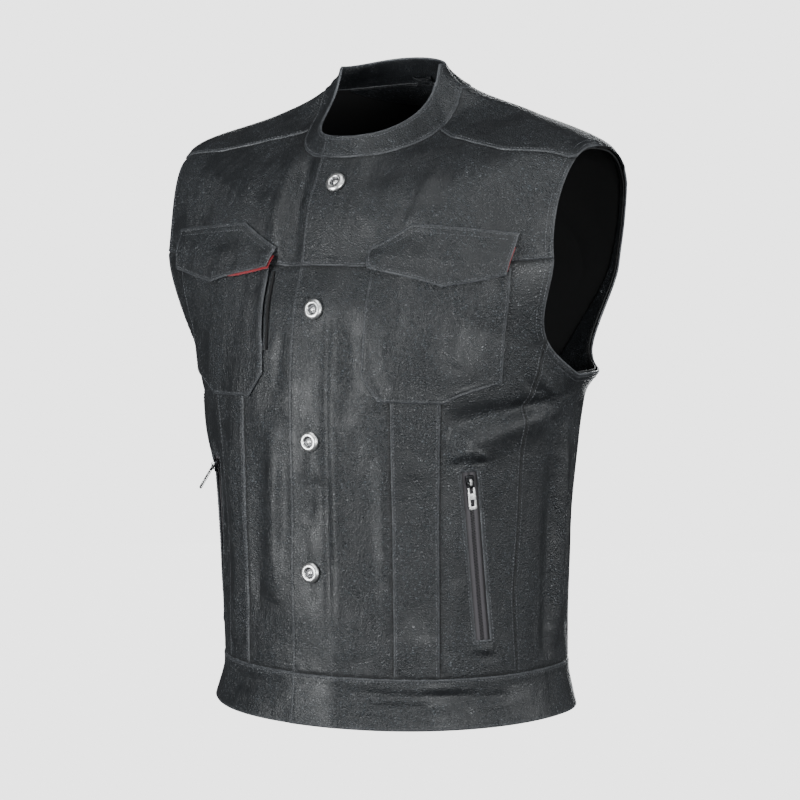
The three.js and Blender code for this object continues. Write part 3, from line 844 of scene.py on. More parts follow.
@dataclass
class Cloth:
    """One cut piece of leather or cloth, made from grids of the chart.

    The grids are the outer face. Its edges are rounded and swollen as sewing makes them, and a
    Solidify modifier gives the wall.
    """

    name: str
    node: Optional[str]
    weaves: list[Weave]
    borders: dict[str, Border]
    wall: float = WALL
    slot: Finish = Finish.LEATHER
    pucker: float = 0.16

    def build(self, finish: "bpy.types.Material", inside: "bpy.types.Material") -> bpy.types.Object:
        """Args:
            finish: The outer material.
            inside: The material of the inner face.

        Returns:
            The finished object.
        """
        form = bmesh.new()
        for weave in self.weaves:
            form.from_mesh(self._grid(weave))
        bmesh.ops.remove_doubles(form, verts=form.verts, dist=0.00004)
        mesh = bpy.data.meshes.new(self.name)
        form.to_mesh(mesh)
        form.free()
        self._shape_edges(mesh)
        mesh.shade_smooth()
        area = sum(face.area for face in mesh.polygons)
        size = self._flat_size(area)
        item = mesh_object(self.name, mesh)
        mesh.materials.append(finish)
        mesh.materials.append(inside)
        wall = item.modifiers.new("wall", "SOLIDIFY")
        wall.thickness = self.wall * MM
        wall.offset = -1
        wall.material_offset = 1
        wall.material_offset_rim = 0
        soften = item.modifiers.new("soft rim", "BEVEL")
        soften.width = min(0.45, self.wall * 0.35) * MM
        soften.segments = 2
        soften.limit_method = "ANGLE"
        soften.angle_limit = math.radians(55)
        self.surface = BVHTree.FromPolygons(
            [v.co.copy() for v in mesh.vertices], [tuple(p.vertices) for p in mesh.polygons]
        )
        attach(item, BODY)
        if self.node:
            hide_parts(self.node)
        min(area, 0.999 * size[0] * size[1])
        log.info("%s: %d faces, cut %.0f x %.0f mm", self.name, len(mesh.polygons), *(s / MM for s in size))
        return item

    def _grid(self, weave: Weave) -> bpy.types.Mesh:
        """One grid of the piece, placed on the body, with its flat lie kept.

        Args:
            weave: The grid.

        Returns:
            Its mesh.
        """
        rows, columns = weave.h.shape
        form = bmesh.new()
        bmesh.ops.create_grid(
            form, x_segments=columns - 1, y_segments=rows - 1, size=1, calc_uvs=True
        )
        mesh = bpy.data.meshes.new(self.name)
        form.verts.ensure_lookup_table()
        if weave.open is not None:
            gone = []
            for face in form.faces:
                middle = face.calc_center_median()
                i = int((middle.x + 1) / 2 * (columns - 1))
                j = int((middle.y + 1) / 2 * (rows - 1))
                if weave.open[j, i]:
                    gone.append(face)
            bmesh.ops.delete(form, geom=gone, context="FACES")
        form.to_mesh(mesh)
        form.free()
        flat = np.empty(len(mesh.vertices) * 3)
        mesh.vertices.foreach_get("co", flat)
        flat = flat.reshape(-1, 3)
        i = np.rint((flat[:, 0] + 1) / 2 * (columns - 1)).astype(int)
        j = np.rint((flat[:, 1] + 1) / 2 * (rows - 1)).astype(int)
        points = FORM.place(weave.h[j, i], weave.degrees[j, i], weave.lift[j, i] + self.wall)
        mesh.vertices.foreach_set("co", points.ravel())
        lie = mesh.attributes.new("lie", "FLOAT_VECTOR", "POINT")
        arc = FORM.arc_at(weave.h[j, i], weave.degrees[j, i])
        values = np.stack([arc * MM, weave.h[j, i] * MM, np.zeros(len(arc))], 1)
        lie.data.foreach_set("vector", values.ravel())
        out = mesh.attributes.new("out", "FLOAT_VECTOR", "POINT")
        out.data.foreach_set("vector", FORM.outward(weave.h[j, i], weave.degrees[j, i]).ravel())
        return mesh

    def _shape_edges(self, mesh: bpy.types.Mesh) -> None:
        """Rounds the edges, puckers the seams, and keeps how rubbed each place is and how much painted shade
        it gets.

        Args:
            mesh: The piece's outer face.
        """
        count = len(mesh.vertices)
        points, out = np.empty(count * 3), np.empty(count * 3)
        mesh.vertices.foreach_get("co", points)
        mesh.attributes["out"].data.foreach_get("vector", out)
        points, out = points.reshape(-1, 3), out.reshape(-1, 3)
        low, high, pucker, rub, painted_shade = (np.zeros(count) for _ in range(5))
        for border in self.borders.values():
            if border.edge is Edge.PLAIN:
                continue
            away, along = nearest_on(points, border.points)
            away, along = away / MM, along / MM
            profile = border.edge.profile(away)
            low, high = np.minimum(low, profile), np.maximum(high, profile)
            waves = np.sin(along / 1.31 + 0.7) + 0.8 * np.sin(along / 2.07 + 2.2)
            waves = waves * (0.6 + 0.4 * np.sin(along / 19.0 + 1.1))
            pucker += self.pucker * waves * np.exp(-(((away - STITCH_IN) / 2.4) ** 2))
            uneven = 0.75 + 0.25 * np.sin(along / 11.0) * np.sin(along / 4.1 + 1.0)
            rub = np.maximum(rub, border.edge.rub * uneven * np.exp(-away / 1.2))
            # painted shade: seams and edges that go under another piece are darkened as if shade fell there
            painted_shade = np.maximum(painted_shade, border.edge.shade * np.exp(-away / 1.9))
        rise = low + high + pucker
        mesh.vertices.foreach_set("co", (points + out * rise[:, None] * MM).ravel())
        worn = mesh.attributes.new("rub", "FLOAT", "POINT")
        worn.data.foreach_set("value", np.clip(rub, 0, 1))
        shade_layer = mesh.attributes.new("painted_shade", "FLOAT", "POINT")
        shade_layer.data.foreach_set("value", np.clip(painted_shade, 0, 1))
        mesh.attributes.remove(mesh.attributes["out"])

    def _flat_size(self, area: float) -> tuple[float, float]:
        """The sides of the leather that the piece is cut from, in metres.

        Args:
            area: The piece's own area, in square metres.

        Returns:
            The width and the height.
        """
        tall = wide = 0.0
        for weave in self.weaves:
            points = FORM.place(weave.h, weave.degrees, weave.lift, fine=False)
            runs = np.linalg.norm(np.diff(points, axis=1), axis=2).sum(1).max()
            rises = np.linalg.norm(np.diff(points, axis=0), axis=2).sum(0).max()
            wide, tall = max(wide, float(runs)), tall + float(rises)
        tall = min(tall, 2.5 * area / wide)  # a curved strip is cut from a narrower one
        wide, tall = max(wide, 0.01), max(tall, 0.01)
        grow = max(1.0, math.sqrt(area * 1.02 / (wide * tall)))
        return wide * grow, tall * grow


@dataclass(frozen=True)
class Side:
    """One side of the wearer."""

    name: str
    sign: int
    lift: Lift
    start: float


SIDES = (Side("left", 1, lap_lift, -LAP), Side("right", -1, no_lift, -TUCK))


@dataclass
class Materials:
    """Every material of the vest."""

    leather: bpy.types.Material
    lining: bpy.types.Material
    red: bpy.types.Material
    tape: bpy.types.Material
    coil: bpy.types.Material
    thread: bpy.types.Material
    silver: bpy.types.Material
    # painted shade in the snaps' recesses
    recess_shade_metal: bpy.types.Material
    black_metal_and_shade: bpy.types.Material


@dataclass
class Sewn:
    """Pieces that are cut from the same materials, kept by the solids they stand for."""

    materials: Materials
    pieces: dict[str, Cloth] = field(default_factory=dict)

    def _add(
        self,
        node: str,
        weaves: list[Weave],
        borders: dict[str, Border],
        inside: bpy.types.Material,
        wall: float = WALL,
    ) -> None:
        """Builds a leather piece and keeps it.

        Args:
            node: The solid it stands for.
            weaves: Its grids.
            borders: Its edges.
            inside: The material of its inner face.
            wall: Its thickness.
        """
        piece = Cloth(node + "_leather", node, weaves, borders, wall)
        piece.build(self.materials.leather, inside)
        self.pieces[node] = piece


@dataclass
class Fronts(Sewn):
    """The fronts of the vest: on each side a yoke and three panels below it."""

    step: float = 3.0

    def build(self) -> dict[str, Cloth]:
        """Makes both fronts and both panels under the arms.

        Returns:
            The pieces by name.
        """
        for side in SIDES:
            self._yoke(side)
            self._centre(side)
            self._middle(side)
            self._outer(side)
            self._under_arm(side)
        return self.pieces

    @staticmethod
    def _sides(
        side: Side, weave: Weave, centre: Edge, outer: Optional[Edge], low: Edge, high: Edge
    ) -> dict[str, Border]:
        """The borders of a front panel, named from the centre outwards.

        Args:
            side: The side of the wearer.
            weave: Its grid.
            centre: The edge towards the centre.
            outer: The edge away from it, or None where more than one follows.
            low: The lower edge.
            high: The upper edge.

        Returns:
            The borders by name.
        """
        first, last = ("near", "far") if side.sign > 0 else ("far", "near")
        kinds = {first: centre, "low": low, "high": high}
        if outer:
            kinds[last] = outer
        made = grid_borders(weave, WALL, **kinds)
        made["centre"] = made.pop(first)
        if outer:
            made["outer"] = made.pop(last)
        return made

    def _yoke(self, side: Side) -> None:
        """The yoke, from the lap to the armhole and the shoulder seam.

        Args:
            side: The side of the wearer.
        """

        def end(h: Array) -> Array:
            """The arc of the armhole, and above it of the shoulder seam."""
            arm = FORM.arc_at(h, arm_front(np.minimum(h, SEAM_TOP)))
            return np.where(h <= SEAM_TOP, arm, SHOULDER(np.maximum(h, SEAM_TOP)) - GAP / 2)

        below = levels(YOKE + GAP / 2, SEAM_TOP, self.step, far=False)
        above = levels(SEAM_TOP, NECK - GAP, self.step, near=False)
        rows = np.unique(np.concatenate([below, above]))
        at = across([lambda h: np.full(len(h), side.start), end], [250], [True, True], self.step)
        weave = strip(at, rows, side.sign, side.lift)
        borders = self._sides(side, weave, Edge.FOLDED, None, Edge.OVER, Edge.UNDER)
        h = weave.h[:, 0]
        column = -1 if side.sign > 0 else 0
        arm, top = h <= SEAM_TOP, h >= SEAM_TOP
        ends = weave.degrees[:, column]
        borders["armhole"] = border(Edge.FOLDED, h[arm], ends[arm], np.zeros(arm.sum()))
        borders["shoulder"] = border(Edge.UNDER, h[top], ends[top], np.zeros(top.sum()))
        self._add("front_yoke_" + side.name, [weave], borders, self.materials.lining)

    def _rows(self) -> Array:
        """Heights of the panels under the yoke."""
        return levels(BAND_TOP + GAP / 2, YOKE - GAP / 2, self.step)

    def _centre(self, side: Side) -> None:
        """The panel that carries the snaps, or lies under them.

        Args:
            side: The side of the wearer.
        """
        lines = [lambda h: np.full(len(h), side.start), shifted(SEAM_A, -GAP / 2)]
        weave = strip(across(lines, [108], [True, True], self.step), self._rows(), side.sign, side.lift)
        borders = self._sides(side, weave, Edge.FOLDED, Edge.UNDER, Edge.UNDER, Edge.UNDER)
        self._add("front_centre_" + side.name, [weave], borders, self.materials.lining)

    def _middle(self, side: Side) -> None:
        """The narrow strip, stitched down along both its sides.

        Args:
            side: The side of the wearer.
        """
        lines = [shifted(SEAM_A, GAP / 2), shifted(SEAM_B, -GAP / 2)]
        weave = strip(across(lines, [48], [True, True], self.step), self._rows(), side.sign, side.lift)
        borders = self._sides(side, weave, Edge.OVER, Edge.OVER, Edge.UNDER, Edge.UNDER)
        self._add("front_mid_" + side.name, [weave], borders, self.materials.lining)

    def _outer(self, side: Side) -> None:
        """The panel with the zip's window and the front of the armhole.

        Args:
            side: The side of the wearer.
        """

        def zip_at(offset: float) -> Line:
            """A line beside the zip's."""
            return lambda h: ZIP(np.clip(h, ZIP_LOW, ZIP_HIGH)) + offset

        def end(h: Array) -> Array:
            """The arc of the outer seam, and above it of the armhole."""
            arm = FORM.arc_at(h, arm_front(np.maximum(h, SEAM_C_TOP)))
            return np.where(h < SEAM_C_TOP, SEAM_C(h) - GAP / 2, arm)

        half, low, high = WINDOW, WINDOW_LOW, WINDOW_HIGH
        lines = [shifted(SEAM_B, GAP / 2), zip_at(-half), zip_at(half), end]
        rows = np.concatenate(
            [
                levels(BAND_TOP + GAP / 2, low, self.step),
                levels(low, high, self.step, near=False, far=False),
                levels(high, SEAM_C_TOP, self.step, far=False),
                levels(SEAM_C_TOP, YOKE - GAP / 2, self.step, near=False),
            ]
        )
        rows = np.unique(np.round(rows, 4))
        at = across(lines, [31, 15, 40], [True, True, True, True], self.step)
        weave = strip(at, rows, side.sign, side.lift)
        arcs = np.abs(FORM.arc_at(weave.h, weave.degrees))
        middle = (arcs[:-1, :-1] + arcs[1:, 1:] + arcs[:-1, 1:] + arcs[1:, :-1]) / 4
        h = (weave.h[:-1, :-1] + weave.h[1:, 1:]) / 2
        from_zip = np.abs(middle - ZIP(np.clip(h, ZIP_LOW, ZIP_HIGH)))
        weave.open = (from_zip < half - 0.1) & (h > low) & (h < high)
        borders = self._sides(side, weave, Edge.UNDER, None, Edge.UNDER, Edge.UNDER)
        h = weave.h[:, 0]
        column = -1 if side.sign > 0 else 0
        seam, arm = h <= SEAM_C_TOP, h >= SEAM_C_TOP
        borders["seam"] = border(Edge.SEAM, h[seam], weave.degrees[seam, column], np.zeros(seam.sum()))
        borders["armhole"] = border(Edge.FOLDED, h[arm], weave.degrees[arm, column], np.zeros(arm.sum()))
        run = np.linspace(low, high, 60)
        for name, offset in (("welt_in", -half), ("welt_out", half)):
            turned = side.sign * FORM.angle_at(run, ZIP(run) + offset)
            borders[name] = border(Edge.FOLDED, run, turned, np.zeros(60))
        for name, level in (("welt_low", low), ("welt_high", high)):
            arc = ZIP(np.array([level])) + np.linspace(-half, half, 8)
            h = np.full(8, level)
            borders[name] = border(Edge.FOLDED, h, side.sign * FORM.angle_at(h, arc), np.zeros(8))
        self._add("front_side_" + side.name, [weave], borders, self.materials.lining)

    def _under_arm(self, side: Side) -> None:
        """The panel under the arm, whose top is the bottom of the armhole.

        Args:
            side: The side of the wearer.
        """
        bottom = BAND_TOP + GAP / 2
        parts = levels(bottom, SEAM_C_TOP, self.step * 0.95)
        u = spaced(115, self.step * 0.55)
        if side.sign < 0:
            u = 1 - u[::-1]
        front = FORM.angle_at(parts, SEAM_C(parts) + GAP / 2)
        back = SIDE_SEAM - GAP / 6
        share = u if side.sign > 0 else u[::-1]
        top_front = FORM.angle_at(np.array([SEAM_C_TOP]), SEAM_C(np.array([SEAM_C_TOP])) + GAP / 2)[0]
        tops = arm_bottom(top_front + (back - top_front) * share)
        part = (parts - bottom) / (SEAM_C_TOP - bottom)
        h = bottom + (tops[None, :] - bottom) * part[:, None]
        degrees = side.sign * (front[:, None] + (back - front[:, None]) * share[None, :])
        weave = Weave(h, degrees, np.zeros(h.shape))
        borders = self._sides(side, weave, Edge.SEAM, Edge.SEAM, Edge.UNDER, Edge.FOLDED)
        self._add("side_" + side.name, [weave], borders, self.materials.lining)


@dataclass
class Back(Sewn):
    """The back, which reaches over the shoulders to the forward seams."""

    step: float = 3.6

    def build(self) -> dict[str, Cloth]:
        """Makes the back from four grids that share their edges.

        Returns:
            The piece by name.
        """
        start = SIDE_SEAM + GAP / 6
        corner = float(arm_bottom(np.array([start]))[0])
        rows = np.unique(
            np.concatenate(
                [
                    levels(BAND_TOP + GAP / 2, corner, self.step, far=False),
                    levels(corner, TIP, self.step, near=False, far=False),
                    TIP - np.array([1.0, 0.35]),
                ]
            )
        )
        parts = spaced(520, self.step)
        begin = np.where(rows < corner + 0.01, start, arm_back(rows))
        begin[rows >= TIP] = 90
        degrees = begin[:, None] + (360 - 2 * begin[:, None]) * parts[None, :]
        h = np.repeat(rows[:, None], len(parts), 1)
        lower = Weave(h, degrees, np.zeros(h.shape))

        tops = levels(TIP, NECK - GAP, self.step * 0.9, near=False)
        ridge = spaced(180, self.step, True, False)

        def seam(x: Array) -> Array:
            """The angle of the shoulder seam."""
            return FORM.angle_at(x, SHOULDER(x) + GAP / 2)

        left = seam(tops)[:, None] + (90 - seam(tops)[:, None]) * ridge[None, :]
        over = 90 + 180 * parts
        h = np.repeat(tops[:, None], 2 * len(ridge) + len(over) - 2, 1)
        degrees = np.concatenate(
            [left, np.repeat(over[None, 1:-1], len(tops), 0), 360 - left[:, ::-1]], 1
        )
        upper = Weave(h, degrees, np.zeros(h.shape))
        weaves = [lower, upper]

        tips = np.array([SEAM_TOP + 1, 505.5, 506.6, 507.8, 508.9, TIP])
        seam_tip = seam(tips)
        seam_tip[0] = float(arm_front(tips[:1])[0]) - 0.3
        arm = arm_front(tips)
        arm[-1] = 90
        flap = seam_tip[:, None] + (arm - seam_tip)[:, None] * ridge[None, :]
        h = np.repeat(tips[:, None], len(ridge), 1)
        weaves.append(Weave(h, flap, np.zeros(h.shape)))
        weaves.append(Weave(h, 360 - flap[:, ::-1], np.zeros(h.shape)))

        borders = {}
        zero = np.zeros(1)
        for name, turn in (("left", lambda a: a), ("right", lambda a: 360 - a)):
            low = rows[rows <= corner]
            borders["seam_" + name] = border(Edge.SEAM, low, turn(np.full(len(low), start)), zero)
            run = np.linspace(corner, TIP, 120)
            front = np.linspace(TIP, tips[0], 12)
            h = np.concatenate([run, front[1:]])
            angles = np.concatenate([np.maximum(arm_back(run), start), arm_front(front[1:])])
            angles[119] = 90
            borders["armhole_" + name] = border(Edge.FOLDED, h, turn(angles), zero)
            h = np.concatenate([tips[:-1], tops])
            angles = np.concatenate([seam_tip[:-1], seam(tops)])
            borders["shoulder_" + name] = border(Edge.OVER, h, turn(angles), zero)
        ends = seam(tops[-1:])[0]
        for name, h, end in (("neck", tops[-1], ends), ("low", rows[0], start)):
            round_back = np.linspace(end, 360 - end, 120)
            borders[name] = border(Edge.UNDER, np.full(120, h), round_back, zero)
        self._add("back", weaves, borders, self.materials.lining)
        return self.pieces


@dataclass
class Trim(Sewn):
    """The waistband, the collar with its loop, and the strips inside the armholes."""

    step: float = 3.0

    def build(self) -> dict[str, Cloth]:
        """Makes every band of the vest.

        Returns:
            The pieces by name.
        """
        self._waistband()
        self._collar()
        for side in SIDES:
            self._facing(side)
        return self.pieces

    def _waistband(self) -> None:
        """Three lengths of band, which meet at the side seams."""
        rows = levels(0, BAND_TOP - GAP / 2, 2.6)
        lining = self.materials.lining
        for side in SIDES:
            lines = [
                lambda h: np.full(len(h), side.start),
                lambda h: FORM.arc_at(h, SIDE_SEAM - GAP / 6),
            ]
            weave = strip(across(lines, [345], [True, True], self.step), rows, side.sign, side.lift)
            first, last = ("near", "far") if side.sign > 0 else ("far", "near")
            kinds = {first: Edge.FOLDED, last: Edge.SEAM, "low": Edge.FOLDED, "high": Edge.OVER}
            borders = grid_borders(weave, WALL, **kinds)
            borders["centre"], borders["outer"] = borders.pop(first), borders.pop(last)
            self._add("waistband_" + side.name, [weave], borders, lining)
        start = SIDE_SEAM + GAP / 6
        parts = spaced(430, 3.6)
        h = np.repeat(rows[:, None], len(parts), 1)
        degrees = start + (360 - 2 * start) * np.repeat(parts[None, :], len(rows), 0)
        weave = Weave(h, degrees, np.zeros(h.shape))
        borders = grid_borders(weave, WALL, near=Edge.SEAM, far=Edge.SEAM, low=Edge.FOLDED, high=Edge.OVER)
        self._add("waistband_back", [weave], borders, lining)

    def _collar(self) -> None:
        """A low stand collar with its left end over its right end, a neck facing and a loop."""
        rows = levels(NECK + GAP, COLLAR_TOP, 2.2)
        parts = spaced(460, 2.6)
        begin, end = FORM.angle_at(rows, -LAP), 360 + FORM.angle_at(rows, TUCK)
        degrees = begin[:, None] + (end - begin)[:, None] * parts[None, :]
        h = np.repeat(rows[:, None], len(parts), 1)
        lift = np.where(degrees < 180, lap_lift(h, degrees), 0)
        weave = Weave(h, degrees, lift)
        kinds = {"near": Edge.FOLDED, "far": Edge.FOLDED, "low": Edge.OVER, "high": Edge.FOLDED}
        borders = grid_borders(weave, WALL, **kinds)
        self._add("collar", [weave], borders, self.materials.leather)

        around = np.linspace(118, 242, 70)
        low = 550.5 + 9.3 * ((around - 180) / 62) ** 2
        part = spaced(16, 2.5)[:, None]
        h = low[None, :] + (NECK - GAP - low[None, :]) * part
        degrees = np.repeat(around[None, :], len(part), 0)
        weave = Weave(h, degrees, np.full(h.shape, -REST - LINING))
        borders = grid_borders(weave, LINING, low=Edge.PLAIN)
        facing = Cloth("neck_facing_leather", None, [weave], borders, LINING)
        facing.build(self.materials.leather, self.materials.leather)

        half, low, high, stand = 11.0, 562.0, 565.5, 3.5
        u = np.linspace(-1, 1, 25)
        rows = np.linspace(low, high, 5)
        spread = 180 - FORM.angle_at(rows, FORM.arc_at(rows, 180) - half)
        degrees = 180 + spread[:, None] * u[None, :]
        h = np.repeat(rows[:, None], len(u), 1)
        lift = np.repeat((-LAYER + WALL - LINING - stand * (1 - u * u))[None, :], len(rows), 0)
        weave = Weave(h, degrees, lift)
        borders = grid_borders(weave, LINING, low=Edge.PLAIN, high=Edge.PLAIN)
        self._add("hanger_loop", [weave], borders, self.materials.leather, LINING)

    def _facing(self, side: Side) -> None:
        """The strip inside an armhole.

        Args:
            side: The side of the wearer.
        """
        turn = np.linspace(0, 2 * math.pi, 181)
        grow = 1 - np.linspace(0, 1, 9)[:, None]
        t = (1 - np.cos(turn))[None, :] / 2
        behind = (turn < math.pi)[None, :]
        skew = np.where(behind, BACK_SKEW, FRONT_SKEW)
        bulge = np.sqrt(np.maximum(1 - (2 * t**skew - 1) ** 2, 0))
        h = (PIT - 36 * grow) * (1 - t) + (TIP + 6 * grow) * t
        reach = np.where(behind, BACK_REACH + 7 * grow, -FRONT_REACH - 6 * grow)
        degrees = side.sign * (90 + reach * bulge)
        weave = Weave(h, degrees, np.full(h.shape, -FACING_REST - FACING))
        borders = grid_borders(weave, FACING, high=Edge.SEAM)
        leather = self.materials.leather
        self._add("armhole_facing_" + side.name, [weave], borders, leather, FACING)


@dataclass
class Pockets(Sewn):
    """The chest pockets, their flaps with red linings, and the right one's side opening."""

    step: float = 2.6
    low: float = 324.0
    inner_corner: float = 349.0
    outer_corner: float = 361.0
    high: float = 450.0
    slit_low: float = 372.0
    slit_high: float = 448.0
    slit_width: float = 6.0
    mouth: float = 2.5

    def build(self) -> dict[str, Cloth]:
        """Makes both pockets.

        Returns:
            The pieces by name.
        """
        for side in SIDES:
            self._pocket(side)
            self._flap(side)
        self._slit()
        return self.pieces

    def _pocket(self, side: Side) -> None:
        """A patch pocket with one cut corner, swollen a little by use.

        Args:
            side: The side of the wearer.
        """
        corners = (self.inner_corner, self.outer_corner)
        cut = [
            levels(self.low, corners[0], self.step, far=False),
            levels(*corners, self.step, near=False, far=False),
            levels(corners[1], self.high, self.step, near=False),
        ]
        rows = np.unique(np.concatenate(cut))
        u = spaced(138, self.step)
        inner, outer = POCKET_INNER(rows)[:, None], POCKET_OUTER(rows)[:, None]
        arcs = inner + (outer - inner) * u[None, :]
        h = np.repeat(rows[:, None], len(u), 1)
        lift = np.full(h.shape, LAYER)
        belly = 1.6 * np.sin(np.pi * u)[None, :] * smooth(330, 380, h)
        swell = belly + 0.5 * np.sin(arcs / 9 + h / 31) * smooth(8, 30, arcs - inner)
        lift = lift + swell * smooth(4, 26, np.minimum(arcs - inner, outer - arcs))
        if side.sign < 0:
            gape = smooth(self.slit_low, self.slit_low + 20, h)
            lift = lift + self.mouth * gape * (1 - smooth(0, 18, arcs - inner))
        weave = handed(side.sign, h, arcs, lift)
        borders = grid_borders(weave, WALL, near=Edge.OVER, far=Edge.OVER, low=Edge.OVER, high=Edge.PLAIN)
        self._add("pocket_" + side.name, [weave], borders, self.materials.lining)

    def _flap_weave(
        self, side: Side, u: Array, v: Array, insets: tuple[float, float], peek: Array, drop: float
    ) -> Weave:
        """The grid of a flap or of its lining.

        Args:
            side: The side of the wearer.
            u: Parts along it, from its inner end.
            v: Parts up it, from its loose edge.
            insets: How far its inner and outer ends are drawn in.
            peek: How far its loose edge is drawn in, one for each u.
            drop: How far under the flap's own lift it lies.

        Returns:
            The grid.
        """
        v, u = np.meshgrid(v, u, indexing="ij")
        begin = 58 + (53 - 58) * v + insets[0]
        end = 195 + (206 - 195) * v - insets[1]
        arcs = begin + (end - begin) * u
        low = FLAP_BOTTOM(arcs) + peek[None, :]
        h = low + (FLAP_TOP(arcs) - low) * v
        over = LAYER + LINING + REST + 1.6
        curl = 3 * (smooth(0.82, 1, u) + 1 - smooth(0, 0.18, u)) * (1 - v)
        lift = LAYER + GAP / 2 + over * (1 - smooth(0.35, 0.9, v)) + curl - drop
        return handed(side.sign, h, arcs, lift)

    def _flap(self, side: Side) -> None:
        """A pointed flap and its lining.

        Args:
            side: The side of the wearer.
        """
        u = spaced(146, self.step)
        kinks = np.array([(135 - 58) / 137, (99 - 53) / 153])
        u = np.unique(np.concatenate([u, kinks]))
        weave = self._flap_weave(side, u, spaced(46, 2.2), (0, 0), np.zeros(len(u)), 0)
        kinds = {"near": Edge.FOLDED, "far": Edge.FOLDED, "low": Edge.FOLDED, "high": Edge.OVER}
        borders = grid_borders(weave, WALL, **kinds)
        self._add("flap_" + side.name, [weave], borders, self.materials.red)
        if side.sign > 0:
            insets, peek = (1.5, -0.9), np.full(len(u), 1.5)
        else:
            insets, peek = (-0.9, 1.5), 1.5 - 3.1 * (1 - smooth(0.28, 0.5, u))
        weave = self._flap_weave(side, u, np.linspace(0, 0.6, 9), insets, peek, LINING + 0.1)
        borders = grid_borders(weave, LINING, low=Edge.PLAIN)
        node = "flap_lining_" + side.name
        piece = Cloth(node + "_cloth", node, [weave], borders, LINING, Finish.RED)
        piece.build(self.materials.red, self.materials.red)
        self.pieces[node] = piece

    def _slit(self) -> None:
        """The lip inside the right pocket's side opening, with a band of black lining beyond it as painted
        shade in the gap.
        """
        rows = np.linspace(self.slit_low, self.slit_high, 50)
        parts = np.array([0, 0.12, 0.25, 0.4, 0.52, 0.6, 0.68, 0.84, 1.0])
        arcs = POCKET_INNER(rows)[:, None] - GAP - self.slit_width * parts[None, :]
        h = np.repeat(rows[:, None], len(parts), 1)
        lip = np.interp(parts, [0, 0.25, 0.52, 0.6, 1], [0, 1.3, 1.5, 0.1, 0])[None, :]
        ends = smooth(0, 8, h - self.slit_low) * smooth(0, 8, self.slit_high - h)
        lift = LAYER + lip * ends + 0.25 * np.sin(h / 8.0)
        weave = Weave(h, -FORM.angle_at(h, arcs), lift)
        piece = Cloth("slit_lip", "slit_lining_right", [weave], {}, LINING)
        item = piece.build(self.materials.leather, self.materials.lining)
        # painted shade: the faces beyond the lip get the black lining as the dark of the gap
        for face in item.data.polygons:
            middle = np.mean([item.data.attributes["lie"].data[v].vector for v in face.vertices], 0) / MM
            if -middle[0] < float(POCKET_INNER(middle[1])) - 0.58 * self.slit_width:
                face.material_index = 1
        self.pieces["slit_lining_right"] = piece


class Value:
    """A shader socket; calculating with it adds Math nodes."""

    def __init__(self, tree: "Tree", socket: bpy.types.NodeSocket) -> None:
        """Keeps the tree and the socket."""
        self.tree = tree
        self.socket = socket

    def _math(self, kind: str, first: "Number", second: "Number" = 0.0) -> "Value":
        """One Math node on two numbers or sockets."""
        made = self.tree.node("Math", {"operation": kind}, {0: first, 1: second})
        return Value(self.tree, made.outputs[0])

    def __add__(self, other: "Number") -> "Value":
        """The sum."""
        return self._math("ADD", self, other)

    __radd__ = __add__

    def __sub__(self, other: "Number") -> "Value":
        """The difference."""
        return self._math("SUBTRACT", self, other)

    def __rsub__(self, other: "Number") -> "Value":
        """The difference the other way round."""
        return self._math("SUBTRACT", other, self)

    def __mul__(self, other: "Number") -> "Value":
        """The product."""
        return self._math("MULTIPLY", self, other)

    __rmul__ = __mul__

    def sine(self) -> "Value":
        """The sine of an angle in radians."""
        return self._math("SINE", self)

    def least(self, other: "Number") -> "Value":
        """The lower of two."""
        return self._math("MINIMUM", self, other)

    def step(self, low: float, high: float) -> "Value":
        """A soft step from 0 at low to 1 at high.

        Args:
            low: Where it leaves 0.
            high: Where it reaches 1.

        Returns:
            The step.
        """
        sockets = {"Value": self, "From Min": low, "From Max": high, "To Min": 0.0, "To Max": 1.0}
        made = self.tree.node("MapRange", {"interpolation_type": "SMOOTHSTEP"}, sockets)
        return Value(self.tree, made.outputs["Result"])


Number = Value | float
Colour = tuple[float, float, float]


def opaque(colour: Colour) -> tuple[float, float, float, float]:
    """A colour with its alpha."""
    return (*colour, 1.0)


